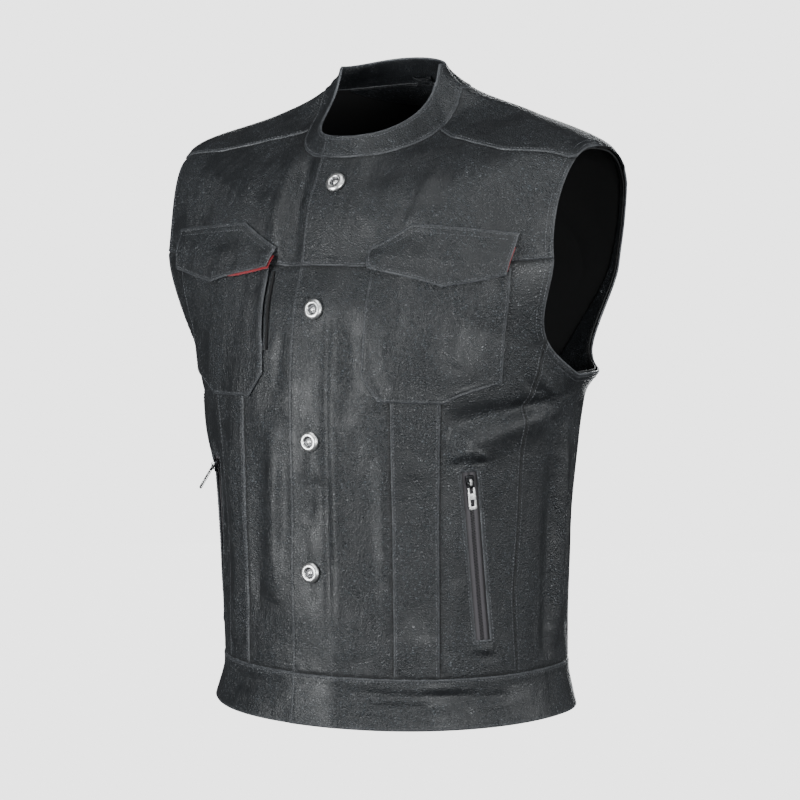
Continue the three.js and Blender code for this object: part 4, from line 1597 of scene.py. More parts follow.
class Tree:
    """The nodes of one material."""

    def __init__(self, name: str) -> None:
        """Starts an empty material."""
        self.material = bpy.data.materials.new(name)
        self.material.use_nodes = True
        self.tree = self.material.node_tree
        self.tree.nodes.clear()

    def node(
        self, kind: str, settings: Optional[dict] = None, sockets: Optional[dict] = None
    ) -> bpy.types.Node:
        """Adds any node.

        Args:
            kind: The node's type, without its prefix.
            settings: Its settings, which are set first.
            sockets: Values or links of its sockets, by name or number.

        Returns:
            The node.
        """
        made = self.tree.nodes.new("ShaderNode" + kind)
        for name, value in (settings or {}).items():
            setattr(made, name, value)
        for name, value in (sockets or {}).items():
            socket = made.inputs[name] if isinstance(name, int) else self._socket(made, name)
            if isinstance(value, Value):
                self.tree.links.new(value.socket, socket)
            else:
                socket.default_value = value
        return made

    @staticmethod
    def _socket(made: bpy.types.Node, name: str) -> bpy.types.NodeSocket:
        """The socket of a name that is in use."""
        return next(s for s in made.inputs if s.name == name and s.enabled)

    def value(
        self, kind: str, out: str, settings: Optional[dict] = None, sockets: Optional[dict] = None
    ) -> Value:
        """Adds any node and gives one of its outputs."""
        made = self.node(kind, settings, sockets)
        return Value(self, next(s for s in made.outputs if s.name == out and s.enabled))

    def here(self) -> Value:
        """The place on the object, in metres."""
        return self.value("TexCoord", "Object")

    def attribute(self, name: str, out: str = "Fac") -> Value:
        """A number or vector that the mesh keeps."""
        return self.value("Attribute", out, {"attribute_name": name})

    def noise(self, at: Value, size: float, detail: float = 2.0) -> Value:
        """Soft noise with patches of a size in millimetres, from 0 to 1."""
        sockets = {"Vector": at, "Scale": 1 / (size * MM), "Detail": detail}
        return self.value("TexNoise", "Fac", None, sockets)

    def mix(self, factor: "Number", first: "Value | Colour", second: "Value | Colour") -> Value:
        """One colour passing into another.

        Args:
            factor: How far it has passed.
            first: The colour at 0.
            second: The colour at 1.

        Returns:
            The colour.
        """
        sides = [opaque(c) if isinstance(c, tuple) else c for c in (first, second)]
        sockets = {"Factor": factor, "A": sides[0], "B": sides[1]}
        return self.value("Mix", "Result", {"data_type": "RGBA"}, sockets)

    def bump(
        self, height: Value, depth: float, strength: float = 1.0, under: Optional[Value] = None
    ) -> Value:
        """A normal bent by a height, its depth in millimetres.

        Args:
            height: The height, from 0 to 1.
            depth: How deep that is.
            strength: How much of it shows.
            under: A normal that it bends further.

        Returns:
            The normal.
        """
        sockets = {"Height": height, "Distance": depth * MM, "Strength": strength}
        if under:
            sockets["Normal"] = under
        return self.value("Bump", "Normal", None, sockets)

    def finish(self, **sockets: "Value | float | tuple") -> bpy.types.Material:
        """Ends the tree with one Principled shader.

        Args:
            sockets: The shader's values or links, by socket name.

        Returns:
            The material.
        """
        names = {name.replace("_", " ").title().replace("Ior", "IOR"): v for name, v in sockets.items()}
        shader = self.value("BsdfPrincipled", "BSDF", None, names)
        self.node("OutputMaterial", None, {"Surface": shader})
        return self.material


@dataclass(frozen=True)
class LeatherFinish:
    """Semi-gloss black leather with a pebble grain and painted highlights on some pebbles, rubbed paler on
    its edges, with painted shade in its seams.
    """

    name: str = "black_leather"
    colour: Colour = (0.0066, 0.0078, 0.0092)
    faded: Colour = (0.0112, 0.0130, 0.0150)
    painted_highlight: Colour = (0.068, 0.077, 0.086)
    rubbed: Colour = (0.15, 0.157, 0.17)
    # the colour of the painted shade in the seams
    seam: Colour = (0.002, 0.002, 0.002)
    grain: float = 2.4
    depth: float = 0.75
    gloss: float = 0.33

    def make(self) -> bpy.types.Material:
        """Builds the material.

        Returns:
            The material.
        """
        tree = Tree(self.name)
        at = tree.here()
        drift = tree.value("TexNoise", "Color", None, {"Vector": at, "Scale": 1 / (3.4 * MM), "Detail": 1.0})
        bent = tree.value(
            "VectorMath", "Vector", {"operation": "MULTIPLY_ADD"}, {0: drift, 1: (0.0018,) * 3, 2: at}
        )
        cells = {"Vector": bent, "Scale": 1 / (self.grain * MM), "Randomness": 1.0}
        edge = tree.value("TexVoronoi", "Distance", {"feature": "DISTANCE_TO_EDGE"}, cells)
        tone = tree.value("TexVoronoi", "Color", {"feature": "F1"}, cells)
        pebble = edge.step(0.0, 0.35)
        fine = tree.noise(at, 1.4, 1.5)
        patch = tree.noise(at, 42.0, 2.0)
        soft = tree.noise(at, 11.0, 3.0)
        hung = tree.value("VectorMath", "Vector", {"operation": "MULTIPLY"}, {0: at, 1: (1.0, 1.0, 0.24)})
        drape = tree.noise(hung, 19.0, 2.0)
        zone = patch.step(0.36, 0.6)
        rub, painted_shade = tree.attribute("rub"), tree.attribute("painted_shade")
        grain = (pebble * (0.5 + 0.5 * tone) + 0.7 * fine) * (0.35 + 0.65 * zone)
        folds = tree.bump(soft, 1.3, 0.5, tree.bump(drape, 2.6, 0.9))
        normal = tree.bump(grain, self.depth, 1.0, folds)
        worn = (rub * (0.3 + 1.2 * fine)).least(1.0)
        colour = tree.mix(patch.step(0.35, 0.68), self.colour, self.faded)
        # painted highlights: a random share of the pebbles, more in the noise's patches, painted paler as
        # glints
        highlight_mask = tone.step(0.5, 0.8) * pebble * (0.2 + 0.8 * zone) * fine.step(0.3, 0.6)
        colour = tree.mix(highlight_mask, colour, self.painted_highlight)
        colour = tree.mix(worn * 0.75, colour, self.rubbed)
        # painted shade in the seams and along edges under other pieces, which are also made duller
        colour = tree.mix(painted_shade * 0.95, colour, self.seam)
        gloss = self.gloss + 0.2 * (soft - 0.5) + 0.2 * (1 - pebble) - 0.16 * (tone - 0.5) + 0.4 * painted_shade
        coat = {"coat_weight": 0.1, "coat_roughness": 0.3}
        shine = {"roughness": gloss, "normal": normal, "specular_ior_level": 0.5}
        return tree.finish(base_color=colour, **shine, **coat)


@dataclass(frozen=True)
class ClothFinish:
    """Plainly woven cloth, such as a lining or a zip's tape, blackened where a piece carries painted shade.
    """

    name: str
    colour: Colour
    shade: Colour
    thread: float = 0.7
    gloss: float = 0.6
    sheen: float = 0.2

    def make(self) -> bpy.types.Material:
        """Builds the material.

        Returns:
            The material.
        """
        tree = Tree(self.name)
        split = tree.node("SeparateXYZ", None, {"Vector": tree.attribute("lie", "Vector")})
        turns = 2 * math.pi / (self.thread * MM)
        warp = (Value(tree, split.outputs["X"]) * turns).sine()
        weft = (Value(tree, split.outputs["Y"]) * turns).sine()
        woven = 0.5 + 0.5 * warp * weft
        patch = tree.noise(tree.here(), 18.0)
        colour = tree.mix(0.35 * woven + 0.5 * patch, self.colour, self.shade)
        # painted shade: darkened to black where the piece's borders call for it
        colour = tree.mix(tree.attribute("painted_shade"), colour, (0.001,) * 3)
        return tree.finish(
            base_color=colour,
            roughness=self.gloss + 0.1 * (patch - 0.5),
            normal=tree.bump(woven, 0.12, 0.6),
            sheen_weight=self.sheen,
            sheen_roughness=0.45,
        )


@dataclass(frozen=True)
class ThreadFinish:
    """Twisted thread."""

    name: str = "black_thread"
    colour: Colour = (0.028, 0.030, 0.034)
    pale: Colour = (0.125, 0.13, 0.14)

    def make(self) -> bpy.types.Material:
        """Builds the material.

        Returns:
            The material.
        """
        tree = Tree(self.name)
        at = tree.here()
        fuzz = tree.noise(at, 0.35, 2.0)
        tone = tree.noise(at, 9.0, 1.0)
        colour = tree.mix((0.25 * fuzz + tone.step(0.3, 0.75) * 0.75), self.colour, self.pale)
        return tree.finish(base_color=colour, roughness=0.5 + 0.15 * fuzz, normal=tree.bump(fuzz, 0.08, 0.5))


@dataclass(frozen=True)
class MetalFinish:
    """Polished or dulled metal, duller in patches and finely scratched."""

    name: str
    colour: Colour
    dull: Colour
    gloss: float

    def make(self) -> bpy.types.Material:
        """Builds the material.

        Returns:
            The material.
        """
        tree = Tree(self.name)
        at = tree.here()
        patch = tree.noise(at, 2.4, 3.0)
        stretched = tree.value("Mapping", "Vector", None, {"Vector": at, "Scale": (1.0, 1.0, 9.0)})
        scratch = tree.noise(stretched, 0.8, 2.0)
        colour = tree.mix(patch.step(0.42, 0.75), self.colour, self.dull)
        gloss = self.gloss + 0.16 * patch * scratch
        normal = tree.bump(scratch, 0.02, 0.3)
        return tree.finish(base_color=colour, metallic=1.0, roughness=gloss, normal=normal)


@dataclass(frozen=True)
class Seat:
    """A place for a hard piece: its origin in metres and its own x and y directions."""

    at: tuple[float, float, float]
    across: tuple[float, float, float]
    up: tuple[float, float, float]
    keep_up: bool = False

    def matrix(self) -> Matrix:
        """The matrix from millimetres on the seat to metres in the row frame.

        Returns:
            The matrix.
        """
        x, y = Vector(self.across).normalized(), Vector(self.up).normalized()
        z = x.cross(y).normalized()
        x, y = (y.cross(z), y) if self.keep_up else (x, z.cross(x))
        turn = Matrix((x, y, z)).transposed().to_4x4()
        return Matrix.Translation(self.at) @ turn @ Matrix.Scale(MM, 4)


def plate(
    form: bmesh.types.BMesh,
    xs: Sequence[Sequence[float]],
    ys: Sequence[float],
    gone: Sequence[tuple[int, int]],
    thick: float,
) -> None:
    """Adds a plate cut from a grid, centred on its plane.

    Args:
        form: The mesh it is added to.
        xs: The x of each column, one row of them for each y.
        ys: The y of each row.
        gone: Cells that are cut out, by column and row.
        thick: The plate's thickness.
    """
    wide, tall = len(xs[0]) - 1, len(ys) - 1
    made = bmesh.ops.create_grid(form, x_segments=wide, y_segments=tall, size=1)["verts"]
    places = {v: (round((v.co.x + 1) / 2 * wide), round((v.co.y + 1) / 2 * tall)) for v in made}
    faces = {f for v in made for f in v.link_faces}
    cut = []
    for face in faces:
        cell = min(places[v][0] for v in face.verts), min(places[v][1] for v in face.verts)
        if cell in gone:
            cut.append(face)
    for v, (i, j) in places.items():
        v.co = (xs[j][i], ys[j], -thick / 2)
    bmesh.ops.delete(form, geom=cut, context="FACES")
    kept = [f for f in faces if f.is_valid and f not in cut]
    raised = bmesh.ops.extrude_face_region(form, geom=kept, use_keep_orig=True)["geom"]
    lifted = [g for g in raised if isinstance(g, bmesh.types.BMVert)]
    bmesh.ops.translate(form, verts=lifted, vec=(0, 0, thick))
    bmesh.ops.recalc_face_normals(form, faces=form.faces)


def hard_piece(
    form: bmesh.types.BMesh,
    name: str,
    node: str,
    body: str,
    seat: Matrix,
    finishes: Sequence[bpy.types.Material],
    round_over: float,
) -> bpy.types.Object:
    """Turns a mesh in millimetres into a finished hard piece.

    Args:
        form: The mesh, which is freed.
        name: The piece's name.
        node: The solid it stands for.
        body: The body it moves with.
        seat: Its place.
        finishes: Its materials.
        round_over: The radius of its edges.

    Returns:
        The object.
    """
    bmesh.ops.transform(form, matrix=seat, verts=form.verts)
    mesh = bpy.data.meshes.new(name)
    form.to_mesh(mesh)
    form.free()
    mesh.shade_smooth()
    for finish in finishes:
        mesh.materials.append(finish)
    item = mesh_object(name, mesh)
    if round_over:
        soften = item.modifiers.new("round edges", "BEVEL")
        soften.width = round_over * MM
        soften.segments = 3
        soften.limit_method = "ANGLE"
        soften.angle_limit = math.radians(35)
    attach(item, body)
    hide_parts(node)
    log.info("%s: %d faces", name, len(mesh.polygons))
    return item


@dataclass
class Snaps:
    """The four snap caps down the front."""

    materials: Materials
    places: tuple = (
        ((0.00553, -0.13599, -0.07152), (-0.1010, 0.4959, 0.8625)),
        ((0.00354, -0.17344, -0.19530), (0.0084, 0.1569, 0.9876)),
        ((0.00345, -0.18103, -0.32510), (0.0027, -0.0224, 0.9997)),
        ((0.00223, -0.17779, -0.45509), (0.0006, -0.0195, 0.9998)),
    )
    profile: tuple = (
        (0.0, 3.4),
        (1.3, 3.3),
        (2.1, 2.8),
        (2.5, 1.9),
        (4.5, 1.8),
        (4.9, 3.2),
        (5.6, 3.9),
        (6.6, 4.2),
        (8.0, 3.9),
        (9.3, 3.2),
        (10.2, 2.2),
        (10.5, 1.4),
        (10.1, 0.05),
        (0.0, 0.0),
    )
    painted_recess_shade: tuple = (2.3, 4.85)

    def build(self) -> None:
        """Makes each cap by turning its profile."""
        for number, (at, up) in enumerate(self.places, 1):
            form = bmesh.new()
            line = [form.verts.new((r, 0, z)) for r, z in self.profile]
            rings = [form.edges.new(pair) for pair in zip(line, line[1:])]
            turn = {"axis": (0, 0, 1), "cent": (0, 0, 0), "angle": 2 * math.pi, "steps": 48}
            bmesh.ops.spin(form, geom=line + rings, use_merge=True, **turn)
            bmesh.ops.remove_doubles(form, verts=form.verts, dist=0.01)
            bmesh.ops.recalc_face_normals(form, faces=form.faces)
            # painted shade: the recess round the centre boss gets a darker metal
            low, high = self.painted_recess_shade
            for face in form.faces:
                middle = face.calc_center_median()
                if low < middle.xy.length < high and middle.z > 1:
                    face.material_index = 1
            name = f"snap_{number}"
            finishes = (self.materials.silver, self.materials.recess_shade_metal)
            seat = Seat(at, (1, 0, 0), up, True).matrix()
            hard_piece(form, name + "_cap", name, BODY, seat, finishes, 0.0)


LEFT_ACROSS, RIGHT_ACROSS = (0.70167, 0.70424, 0.10816), (0.70167, -0.70424, -0.10816)


@dataclass
class Zips:
    """The zips of the hand pockets: tape, teeth, slider and pull."""

    materials: Materials
    slider_width: float = 9.0
    slider_length: float = 13.0
    slider_thick: float = 3.0
    bridge_width: float = 2.4
    bridge_top: float = 6.2
    tunnel: tuple = (1.6, 3.2, 5.4)
    pull_thick: float = 1.3
    neck: float = -5.2
    tooth_pitch: float = 1.5
    shadow: float = 6.9
    seats: tuple = (
        ("left", (0.14962, -0.12074, -0.36166), LEFT_ACROSS, (-0.0132, -0.1389, 0.9902)),
        ("right", (-0.15006, -0.12117, -0.36172), RIGHT_ACROSS, (0.0132, -0.1389, 0.9902)),
    )
    pulls: tuple = (
        ("left", (0.15269, -0.12373, -0.36204), LEFT_ACROSS, (-0.0505, -0.1023, 0.9935)),
        ("right", (-0.15313, -0.12416, -0.36209), RIGHT_ACROSS, (0.4194, 0.2855, 0.8617)),
    )

    def build(self) -> None:
        """Makes both zips."""
        for side in SIDES:
            self._tape(side)
        for name, *place in self.seats:
            self._slider(name, Seat(*place))
        for name, *place in self.pulls:
            self._pull(name, Seat(*place))

    def _tape(self, side: Side) -> None:
        """The tape behind the window, with two rows of teeth down its middle, and painted shadow along the
        window's edges and down its middle.

        Args:
            side: The side of the wearer.
        """
        rows = np.linspace(ZIP_LOW, ZIP_HIGH, 70)
        half = np.array([0.5, 1.1, 1.8, 2.8, 3.8, 4.8, 5.7, 6.4, 7.0, 8, 11, 14])
        offsets = np.concatenate([-half[::-1], [0], half])
        arcs = ZIP(rows)[:, None] + offsets[None, :]
        h = np.repeat(rows[:, None], len(offsets), 1)
        groove = np.repeat((-0.45 * np.exp(-((offsets / 0.6) ** 2)))[None, :], len(rows), 0)
        lift = groove - REST - LINING
        node = "zip_tape_" + side.name
        borders = {}
        # painted shadow: dark lines on the tape along both edges of the window and down its middle
        for name, arc in (("front_welt", -self.shadow), ("middle", 0), ("back_welt", self.shadow)):
            turned = side.sign * FORM.angle_at(rows, ZIP(rows) + arc)
            flat = np.full(len(rows), -REST - LINING)
            borders[name] = border(Edge.SHADOW, rows, turned, flat, LINING)
        weave = handed(side.sign, h, arcs, lift)
        piece = Cloth(node + "_cloth", node, [weave], borders, LINING, Finish.TAPE, pucker=0.0)
        piece.build(self.materials.tape, self.materials.tape)

        form = bmesh.new()
        template = capsule("tooth", 1.0)
        count = int((SLIDER_AT - WINDOW_LOW + 8) / self.tooth_pitch)
        for k in range(count):
            level = WINDOW_LOW - 4 + k * self.tooth_pitch
            for way in (-1, 1):
                h = np.array([level + way * self.tooth_pitch / 4] * 2)
                arc = ZIP(h) + way * np.array([0.3, 2.3])
                points = FORM.place(h, side.sign * FORM.angle_at(h, arc), np.full(2, -REST + 0.15))
                out = Vector(FORM.outward(h[:1], side.sign * FORM.angle_at(h[:1], arc[:1]))[0])
                lay(form, template, Vector(points[0]), Vector(points[1]), out, 0.42 * MM, 0.36 * MM)
        bpy.data.meshes.remove(template)
        loose_piece(form, f"zip_teeth_{side.name}", self.materials.coil)

    def _slider(self, name: str, seat: Seat) -> None:
        """The slider: a waisted block with a bridge over it, the bridge in silver as a painted highlight.

        Args:
            name: The side of the wearer.
            seat: Its place.
        """
        form = bmesh.new()
        wide, half = self.slider_width / 2, self.slider_length / 2
        ys = [-half, -half * 0.35, half * 0.2, half * 0.75, half]
        widths = [wide * 0.66, wide * 0.84, wide, wide * 0.96, wide * 0.8]
        xs = [[-w, -w / 3, w / 3, w] for w in widths]
        plate(form, xs, ys, [], self.slider_thick)
        bmesh.ops.translate(form, verts=form.verts, vec=(0, 0, self.slider_thick / 2))
        reach, low, high = self.tunnel
        side = bmesh.new()
        foot = self.slider_thick - 0.4
        ys = [foot, low, high, self.bridge_top]
        xs = [[-w, -inner, inner, w] for w, inner in ((4, reach), (3.95, reach), (3.5, reach), (2.7, 1.2))]
        plate(side, xs, ys, [(1, 1)], self.bridge_width)
        stand = Matrix(((0, 0, 1, 0), (1, 0, 0, 0), (0, 1, 0, 0), (0, 0, 0, 1)))
        bmesh.ops.transform(side, matrix=stand, verts=side.verts)
        # painted highlight: the bridge gets the silver while the block stays black
        for face in side.faces:
            face.material_index = 1
        bridge = bpy.data.meshes.new("bridge")
        side.to_mesh(bridge)
        side.free()
        form.from_mesh(bridge)
        bpy.data.meshes.remove(bridge)
        finishes = (self.materials.black_metal_and_shade, self.materials.silver)
        node = "zip_slider_" + name
        hard_piece(form, node + "_metal", node, BODY, seat.matrix(), finishes, 0.45)

    def _pull(self, name: str, seat: Seat) -> None:
        """The pull: a plate with a slot for the bridge, painted dark up to its neck as shade, and a hole
        near its end.

        Args:
            name: The side of the wearer.
            seat: Its place.
        """
        form = bmesh.new()
        ys = [0.65, -0.65, self.neck, -11, -17, -23.5, -25.6, -27]
        half = [3.4, 3.4, 3.5, 3.8, 3.9, 3.9, 3.9, 2.9]
        xs = [[-w, -1.9, 1.9, w] for w in half]
        plate(form, xs, ys, [(1, 1), (1, 2), (1, 4)], self.pull_thick)  # the slot and the hole
        # painted shade: the part from the slot end down to the neck gets the black metal
        for face in form.faces:
            face.material_index = int(face.calc_center_median().y > self.neck)
        finishes = (self.materials.silver, self.materials.black_metal_and_shade)
        node = "zip_pull_" + name
        hard_piece(form, node + "_metal", node, "pull_" + name, seat.matrix(), finishes, 0.32)


def capsule(name: str, length: float) -> bpy.types.Mesh:
    """A small rounded rod of a few faces, along z, with a radius of 1.

    Args:
        name: The mesh's name.
        length: The rod's length.

    Returns:
        The mesh.
    """
    form = bmesh.new()
    bmesh.ops.create_uvsphere(form, u_segments=6, v_segments=4, radius=1)
    for v in form.verts:
        v.co.z *= length / 2
    mesh = bpy.data.meshes.new(name)
    form.to_mesh(mesh)
    form.free()
    mesh.shade_smooth()
    return mesh


def lay(
    form: bmesh.types.BMesh,
    template: bpy.types.Mesh,
    start: Vector,
    end: Vector,
    out: Vector,
    wide: float,
    high: float,
) -> None:
    """Adds a copy of a rod between two points.

    Args:
        form: The mesh it is added to.
        template: The rod.
        start: Where it starts, in metres.
        end: Where it ends.
        out: The way out of the leather.
        wide: Its half width.
        high: Its half height.
    """
    run = end - start
    z = run.normalized()
    y = (out - z * out.dot(z)).normalized()
    x = y.cross(z)
    turn = Matrix((x * wide, y * high, z * run.length)).transposed().to_4x4()
    copy = template.copy()
    copy.transform(Matrix.Translation((start + end) / 2) @ turn)
    form.from_mesh(copy)
    bpy.data.meshes.remove(copy)


def loose_piece(
    form: bmesh.types.BMesh, name: str, finish: bpy.types.Material
) -> bpy.types.Object:
    """Turns a mesh of many small parts, in metres, into a piece that moves with the vest.

    Args:
        form: The mesh, which is freed.
        name: The piece's name.
        finish: Its material.

    Returns:
        The object.
    """
    mesh = bpy.data.meshes.new(name)
    form.to_mesh(mesh)
    form.free()
    mesh.shade_smooth()
    mesh.materials.append(finish)
    item = mesh_object(name, mesh)
    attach(item, BODY)
    log.info("%s: %d faces", name, len(mesh.polygons))
    return item


@dataclass
class Sewing:
    """The rows of stitches, each on the piece that it holds."""

    materials: Materials
    pieces: dict[str, Cloth]
    pitch: float = 3.4
    length: float = 2.6
    wide: float = 0.46
    high: float = 0.42
    tack_pitch: float = 0.9
    tack_half: float = 1.2

    def build(self) -> None:
        """Sews every row, group by group."""
        self.template = capsule("stitch", 1.0)
        for name, sew in (
            ("stitches_fronts", self._fronts),
            ("stitches_pockets", self._pockets),
            ("stitches_armholes", self._armholes),
            ("stitches_bands", self._bands),
        ):
            self.form = bmesh.new()
            sew()
            loose_piece(self.form, name, self.materials.thread)
        bpy.data.meshes.remove(self.template)

    def _row(self, piece: Cloth, path: Array, keep: tuple[float, float]) -> None:
        """Stitches along a path.

        Args:
            piece: The piece they lie on.
            path: Points near its outer face, in metres.
            keep: How much of both ends is left out, in millimetres.
        """
        steps = np.linalg.norm(np.diff(path, axis=0), axis=1)
        lengths = np.concatenate([[0], np.cumsum(steps)])
        start, stop = keep[0] * MM, lengths[-1] - keep[1] * MM
        count = int((stop - start) / (self.pitch * MM))
        for k in range(count):
            first = start + k * self.pitch * MM
            ends = []
            for run in (first, first + self.length * MM):
                point = Vector([float(np.interp(run, lengths, path[:, a])) for a in range(3)])
                place, normal, _, away = piece.surface.find_nearest(point)
                if away > 0.0015:
                    break
                ends.append((place, normal))
            if len(ends) == 2:
                (a, out), (b, _) = ends
                rise = out * self.high * 0.35 * MM
                lay(self.form, self.template, a + rise, b + rise, out, self.wide * MM, self.high * MM)

    def _follow(
        self,
        name: str,
        border: str,
        inset: float = STITCH_IN,
        parts: tuple[float, float] = (0, 1),
        keep: Optional[tuple[float, float]] = None,
    ) -> None:
        """A row beside an edge.

        Args:
            name: The piece.
            border: Its edge.
            inset: How far in the row lies.
            parts: The share of the edge it runs along.
            keep: How much of both ends is left out.
        """
        piece = self.pieces[name]
        edge = piece.borders[border]
        steps = np.linalg.norm(np.diff(edge.points, axis=0), axis=1)
        lengths = np.concatenate([[0], np.cumsum(steps)])
        count = max(int(lengths[-1] / MM), 8)
        at = np.linspace(parts[0], parts[1], count) * lengths[-1]
        points = np.stack([np.interp(at, lengths, edge.points[:, a]) for a in range(3)], 1)
        out = np.stack([np.interp(at, lengths, edge.out[:, a]) for a in range(3)], 1)
        reach = 4
        padded = np.concatenate([points[:1]] * reach + [points] + [points[-1:]] * reach)
        tangent = padded[2 * reach :] - padded[: -2 * reach]
        tangent /= np.linalg.norm(tangent, axis=1, keepdims=True)
        aside = np.cross(out, tangent) * inset * MM
        middle = count // 2
        tries = [Vector(points[middle] + way * aside[middle]) for way in (1, -1)]
        near = [piece.surface.find_nearest(place)[3] for place in tries]
        way = 1 if near[0] < near[1] else -1
        self._row(piece, points + way * aside, keep or (inset, inset))

    def _along(self, name: str, h: Array, arc: Array, lift: float = 0.0) -> None:
        """A row through places of the chart, with arcs that are negative on the wearer's right.

        Args:
            name: The piece.
            h: Heights.
            arc: Arcs.
            lift: How far out the piece lies.
        """
        piece = self.pieces[name]
        h, arc = np.broadcast_arrays(np.asarray(h, float), np.asarray(arc, float))
        self._row(piece, FORM.place(h, FORM.angle_at(h, arc), np.full(h.shape, lift + piece.wall)), (0, 0))

    def _tack(self, name: str, h: float, arc: float, length: float, lean: float) -> None:
        """A bar of tight stitches that holds a corner.

        Args:
            name: The piece.
            h: The height of its middle.
            arc: The arc of its middle.
            length: Its length.
            lean: How far it leans from level, in degrees.
        """
        turn = math.radians(lean)
        piece = self.pieces[name]
        reach = (self.tack_half * math.cos(turn), self.tack_half * math.sin(turn))
        for k in range(int(length / self.tack_pitch)):
            along = k * self.tack_pitch - length / 2
            middle = (h + along * math.sin(turn), arc + along * math.cos(turn))
            hs = np.array([middle[0] - reach[0], middle[0] + reach[0]])
            arcs = np.array([middle[1] + reach[1], middle[1] - reach[1]])
            points = FORM.place(hs, FORM.angle_at(hs, arcs), np.full(2, piece.wall))
            found = [piece.surface.find_nearest(Vector(p)) for p in points]
            out = found[0][1]
            rise = out * 0.25 * MM
            thick = self.high * MM
            lay(self.form, self.template, found[0][0] + rise, found[1][0] + rise, out, thick, thick)

    def _fronts(self) -> None:
        """The seams of the fronts and of the panels under the arms."""
        for side in ("left", "right"):
            mid, sign = "front_mid_" + side, 1 if side == "left" else -1
            self._follow(mid, "centre", parts=(0, 0.67), keep=(3, 0))
            self._follow(mid, "outer", parts=(0, 0.67), keep=(3, 0))
            self._follow("front_side_" + side, "seam", 3.0)
            self._follow("side_" + side, "centre", 3.0)
            self._follow("front_yoke_" + side, "low")
            self._window(side, sign)
        self._follow("front_centre_left", "centre", keep=(0, 0))
        self._follow("front_yoke_left", "centre", keep=(0, 0))
        self._along("front_centre_left", np.linspace(54, 451, 200), 21.0)
        self._along("front_yoke_left", np.linspace(457, 557, 60), 21.0)
        self._tack("front_yoke_left", 457, -12, 7, 0)
        self._tack("front_yoke_left", 457.5, 50, 5, 0)
        self._tack("front_yoke_right", 457.5, -50, 5, 0)

    def _window(self, side: str, sign: int) -> None:
        """The ring of stitches round a zip's opening.

        Args:
            side: The side's name.
            sign: 1 on the wearer's left, -1 on the right.
        """
        inset = 3.6
        away = WINDOW + inset
        low, high = WINDOW_LOW - inset, WINDOW_HIGH + inset
        name = "front_side_" + side
        run = np.linspace(low, high, 90)
        for h, offset in ((run, away), (run, -away)):
            self._along(name, h, sign * (ZIP(h) + offset))
        for level in (low, high):
            cross = np.linspace(-away, away, 14)
            h = np.full(14, level)
            self._along(name, h, sign * (ZIP(h) + cross))

    def _pockets(self) -> None:
        """The pockets and their flaps."""
        for side in ("left", "right"):
            pocket, flap = "pocket_" + side, "flap_" + side
            for edge in ("near", "far", "low"):
                self._follow(pocket, edge, 2.8)
            self._follow(flap, "high", 3.0)
            self._follow(flap, "high", 8.0)
            for edge in ("near", "far"):
                self._follow(flap, edge, 3.2)
            self._follow(flap, "low", 3.2)
            sign = 1 if side == "left" else -1
            self._tack(flap, 466, sign * 57, 5, 80)
            self._tack(flap, 444, sign * 132, 4, 80)

    def _armholes(self) -> None:
        """Two rows round each armhole, and the rows on the shoulder seams."""
        for side in ("left", "right"):
            for inset in (STITCH_IN, 8.0):
                self._follow("front_yoke_" + side, "armhole", inset, keep=(0, 2))
                self._follow("front_side_" + side, "armhole", inset, keep=(1, 1))
                self._follow("side_" + side, "high", inset, keep=(1, 1))
                self._follow("back", "armhole_" + side, inset, keep=(1, 2))
            self._follow("back", "shoulder_" + side)

    def _bands(self) -> None:
        """The waistband and the collar."""
        self._follow("collar", "low", 3.2)
        self._follow("collar", "high", 4.2)
        self._follow("collar", "near", 3.4)
        for name in ("waistband_left", "waistband_right", "waistband_back"):
            self._follow(name, "high", 3.0, keep=(1, 1))
        self._follow("waistband_left", "centre", 3.0)


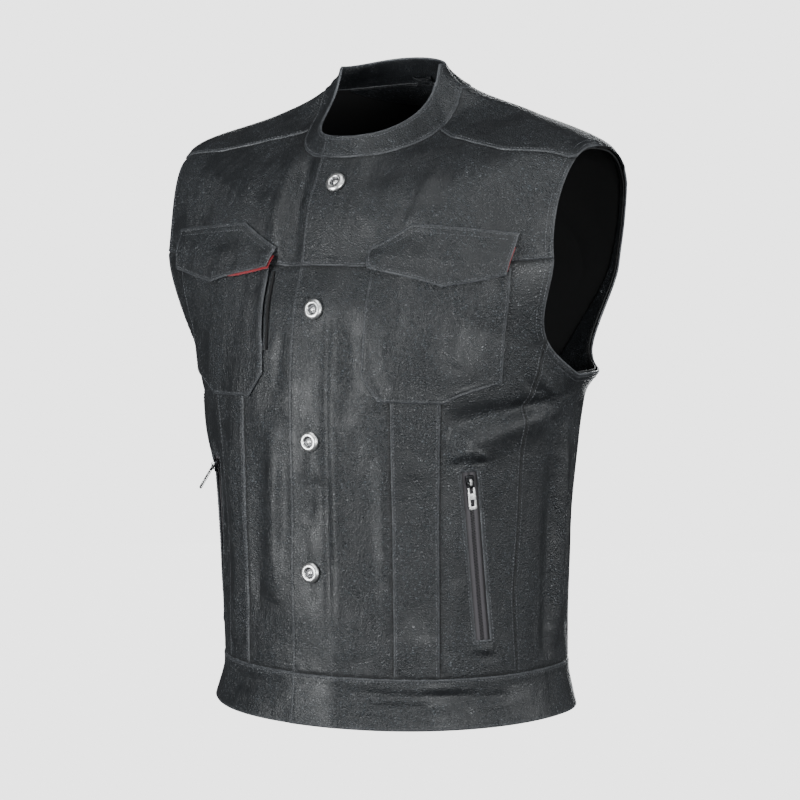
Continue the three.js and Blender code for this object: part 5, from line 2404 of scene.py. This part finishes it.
@dataclass
class Studio:
    """A plain pale floor, soft light and the camera."""

    floor: float = -0.86
    distance: float = 2.8
    turn: float = 31.46
    eye: float = 0.5376
    aim: float = 0.3123
    aside: float = 0.0022
    lens: float = 122.166
    ambient: float = 0.09
    glow: float = 3.0
    tint: Colour = (0.965, 0.99, 1.0)
    boxes: tuple = (
        ("key", -24.0, -2.0, 2.8, 1.25, 77.0),
        ("front", 44.0, 2.0, 3.0, 0.9, 54.0),
        ("right", 106.0, 12.0, 2.6, 1.8, 42.0),
        ("top", 4.0, 70.0, 2.6, 1.4, 19.0),
        ("high", 56.0, 44.0, 2.8, 0.6, 9.0),
        ("neck", 14.0, 42.0, 2.6, 0.9, 9.0),
        ("back", 205.0, 2.0, 3.0, 1.8, 72.0),
    )

    def build(self) -> None:
        """Sets the stage."""
        self._camera()
        self._backdrop()
        self._lights()

    def _camera(self) -> None:
        """The camera, at the photograph's angle."""
        turn = math.radians(self.turn)
        right = Vector((math.cos(turn), math.sin(turn), 0))
        shift = Vector(HELD.tolist()) * MM
        eye = Vector((self.distance * math.sin(turn), -self.distance * math.cos(turn), self.eye))
        eye += right * self.aside - shift
        aim = Vector((0, 0, self.aim)) + right * self.aside - shift
        data = bpy.data.cameras.new("camera")
        data.lens = self.lens
        data.sensor_width = 36
        data.clip_end = 50
        item = bpy.data.objects.new("camera", data)
        item.location = eye
        item.rotation_euler = (aim - eye).to_track_quat("-Z", "Y").to_euler()
        bpy.context.scene.collection.objects.link(item)
        bpy.context.scene.camera = item

    def _backdrop(self) -> None:
        """A pale floor and a pale surround that only the camera sees."""
        for name in ("floor", "surround"):
            form = bmesh.new()
            if name == "floor":
                bmesh.ops.create_grid(form, x_segments=1, y_segments=1, size=12)
                bmesh.ops.translate(form, verts=form.verts, vec=(0, 0, self.floor))
            else:
                bmesh.ops.create_icosphere(form, subdivisions=4, radius=16)
                bmesh.ops.reverse_faces(form, faces=form.faces)
            mesh = bpy.data.meshes.new(name)
            form.to_mesh(mesh)
            form.free()
            tree = Tree("pale_" + name)
            white = opaque((1, 1, 1))
            finish = {"base_color": opaque((0.02, 0.02, 0.02)), "roughness": 1.0, "specular_ior_level": 0.0}
            mesh.materials.append(tree.finish(emission_color=white, emission_strength=self.glow, **finish))
            item = mesh_object(name, mesh)
            item.visible_diffuse = item.visible_glossy = item.visible_shadow = False
        world = bpy.data.worlds.new("studio")
        world.use_nodes = True
        back = world.node_tree.nodes["Background"]
        back.inputs["Color"].default_value = (0.95, 0.96, 1.0, 1)
        back.inputs["Strength"].default_value = self.ambient
        bpy.context.scene.world = world

    def _lights(self) -> None:
        """Soft boxes: their turn from the front, height, distance, size and power."""
        for name, turn, rise, away, size, power in self.boxes:
            data = bpy.data.lights.new(name, "AREA")
            data.energy = power
            data.size = size
            data.color = self.tint
            item = bpy.data.objects.new(name, data)
            t, r = math.radians(turn), math.radians(rise)
            middle = Vector((0, 0, -0.3))
            way = Vector((math.sin(t) * math.cos(r), -math.cos(t) * math.cos(r), math.sin(r)))
            item.location = middle + away * way
            item.rotation_euler = (middle - item.location).to_track_quat("-Z", "Y").to_euler()
            bpy.context.scene.collection.objects.link(item)


def main() -> None:
    """Builds the vest on its frame."""
    logging.basicConfig(level=logging.INFO, format="%(message)s")
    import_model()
    Studio().build()
    materials = Materials(
        leather=LeatherFinish().make(),
        lining=ClothFinish(
            "black_lining", (0.0015, 0.0015, 0.0017), (0.003, 0.003, 0.0033), gloss=0.9, sheen=0.0
        ).make(),
        red=ClothFinish("red_lining", (0.30, 0.008, 0.014), (0.16, 0.004, 0.010), gloss=0.45).make(),
        tape=ClothFinish("zip_tape", (0.105, 0.096, 0.106), (0.066, 0.060, 0.068), thread=0.9).make(),
        coil=MetalFinish("zip_teeth", (0.02, 0.02, 0.022), (0.008, 0.008, 0.009), 0.5).make(),
        thread=ThreadFinish().make(),
        silver=MetalFinish("silver", (0.88, 0.88, 0.87), (0.62, 0.62, 0.60), 0.3).make(),
        recess_shade_metal=MetalFinish("recess_shade_metal", (0.16, 0.16, 0.165), (0.08, 0.08, 0.085), 0.34).make(),
        black_metal_and_shade=MetalFinish("black_metal_and_shade", (0.03, 0.03, 0.032), (0.012, 0.012, 0.013), 0.36).make(),
    )
    pieces: dict[str, Cloth] = {}
    for part in (Fronts, Back, Trim, Pockets):
        pieces |= part(materials).build()
    Snaps(materials).build()
    Zips(materials).build()
    Sewing(materials, pieces).build()


if __name__ == "__main__":
    main()
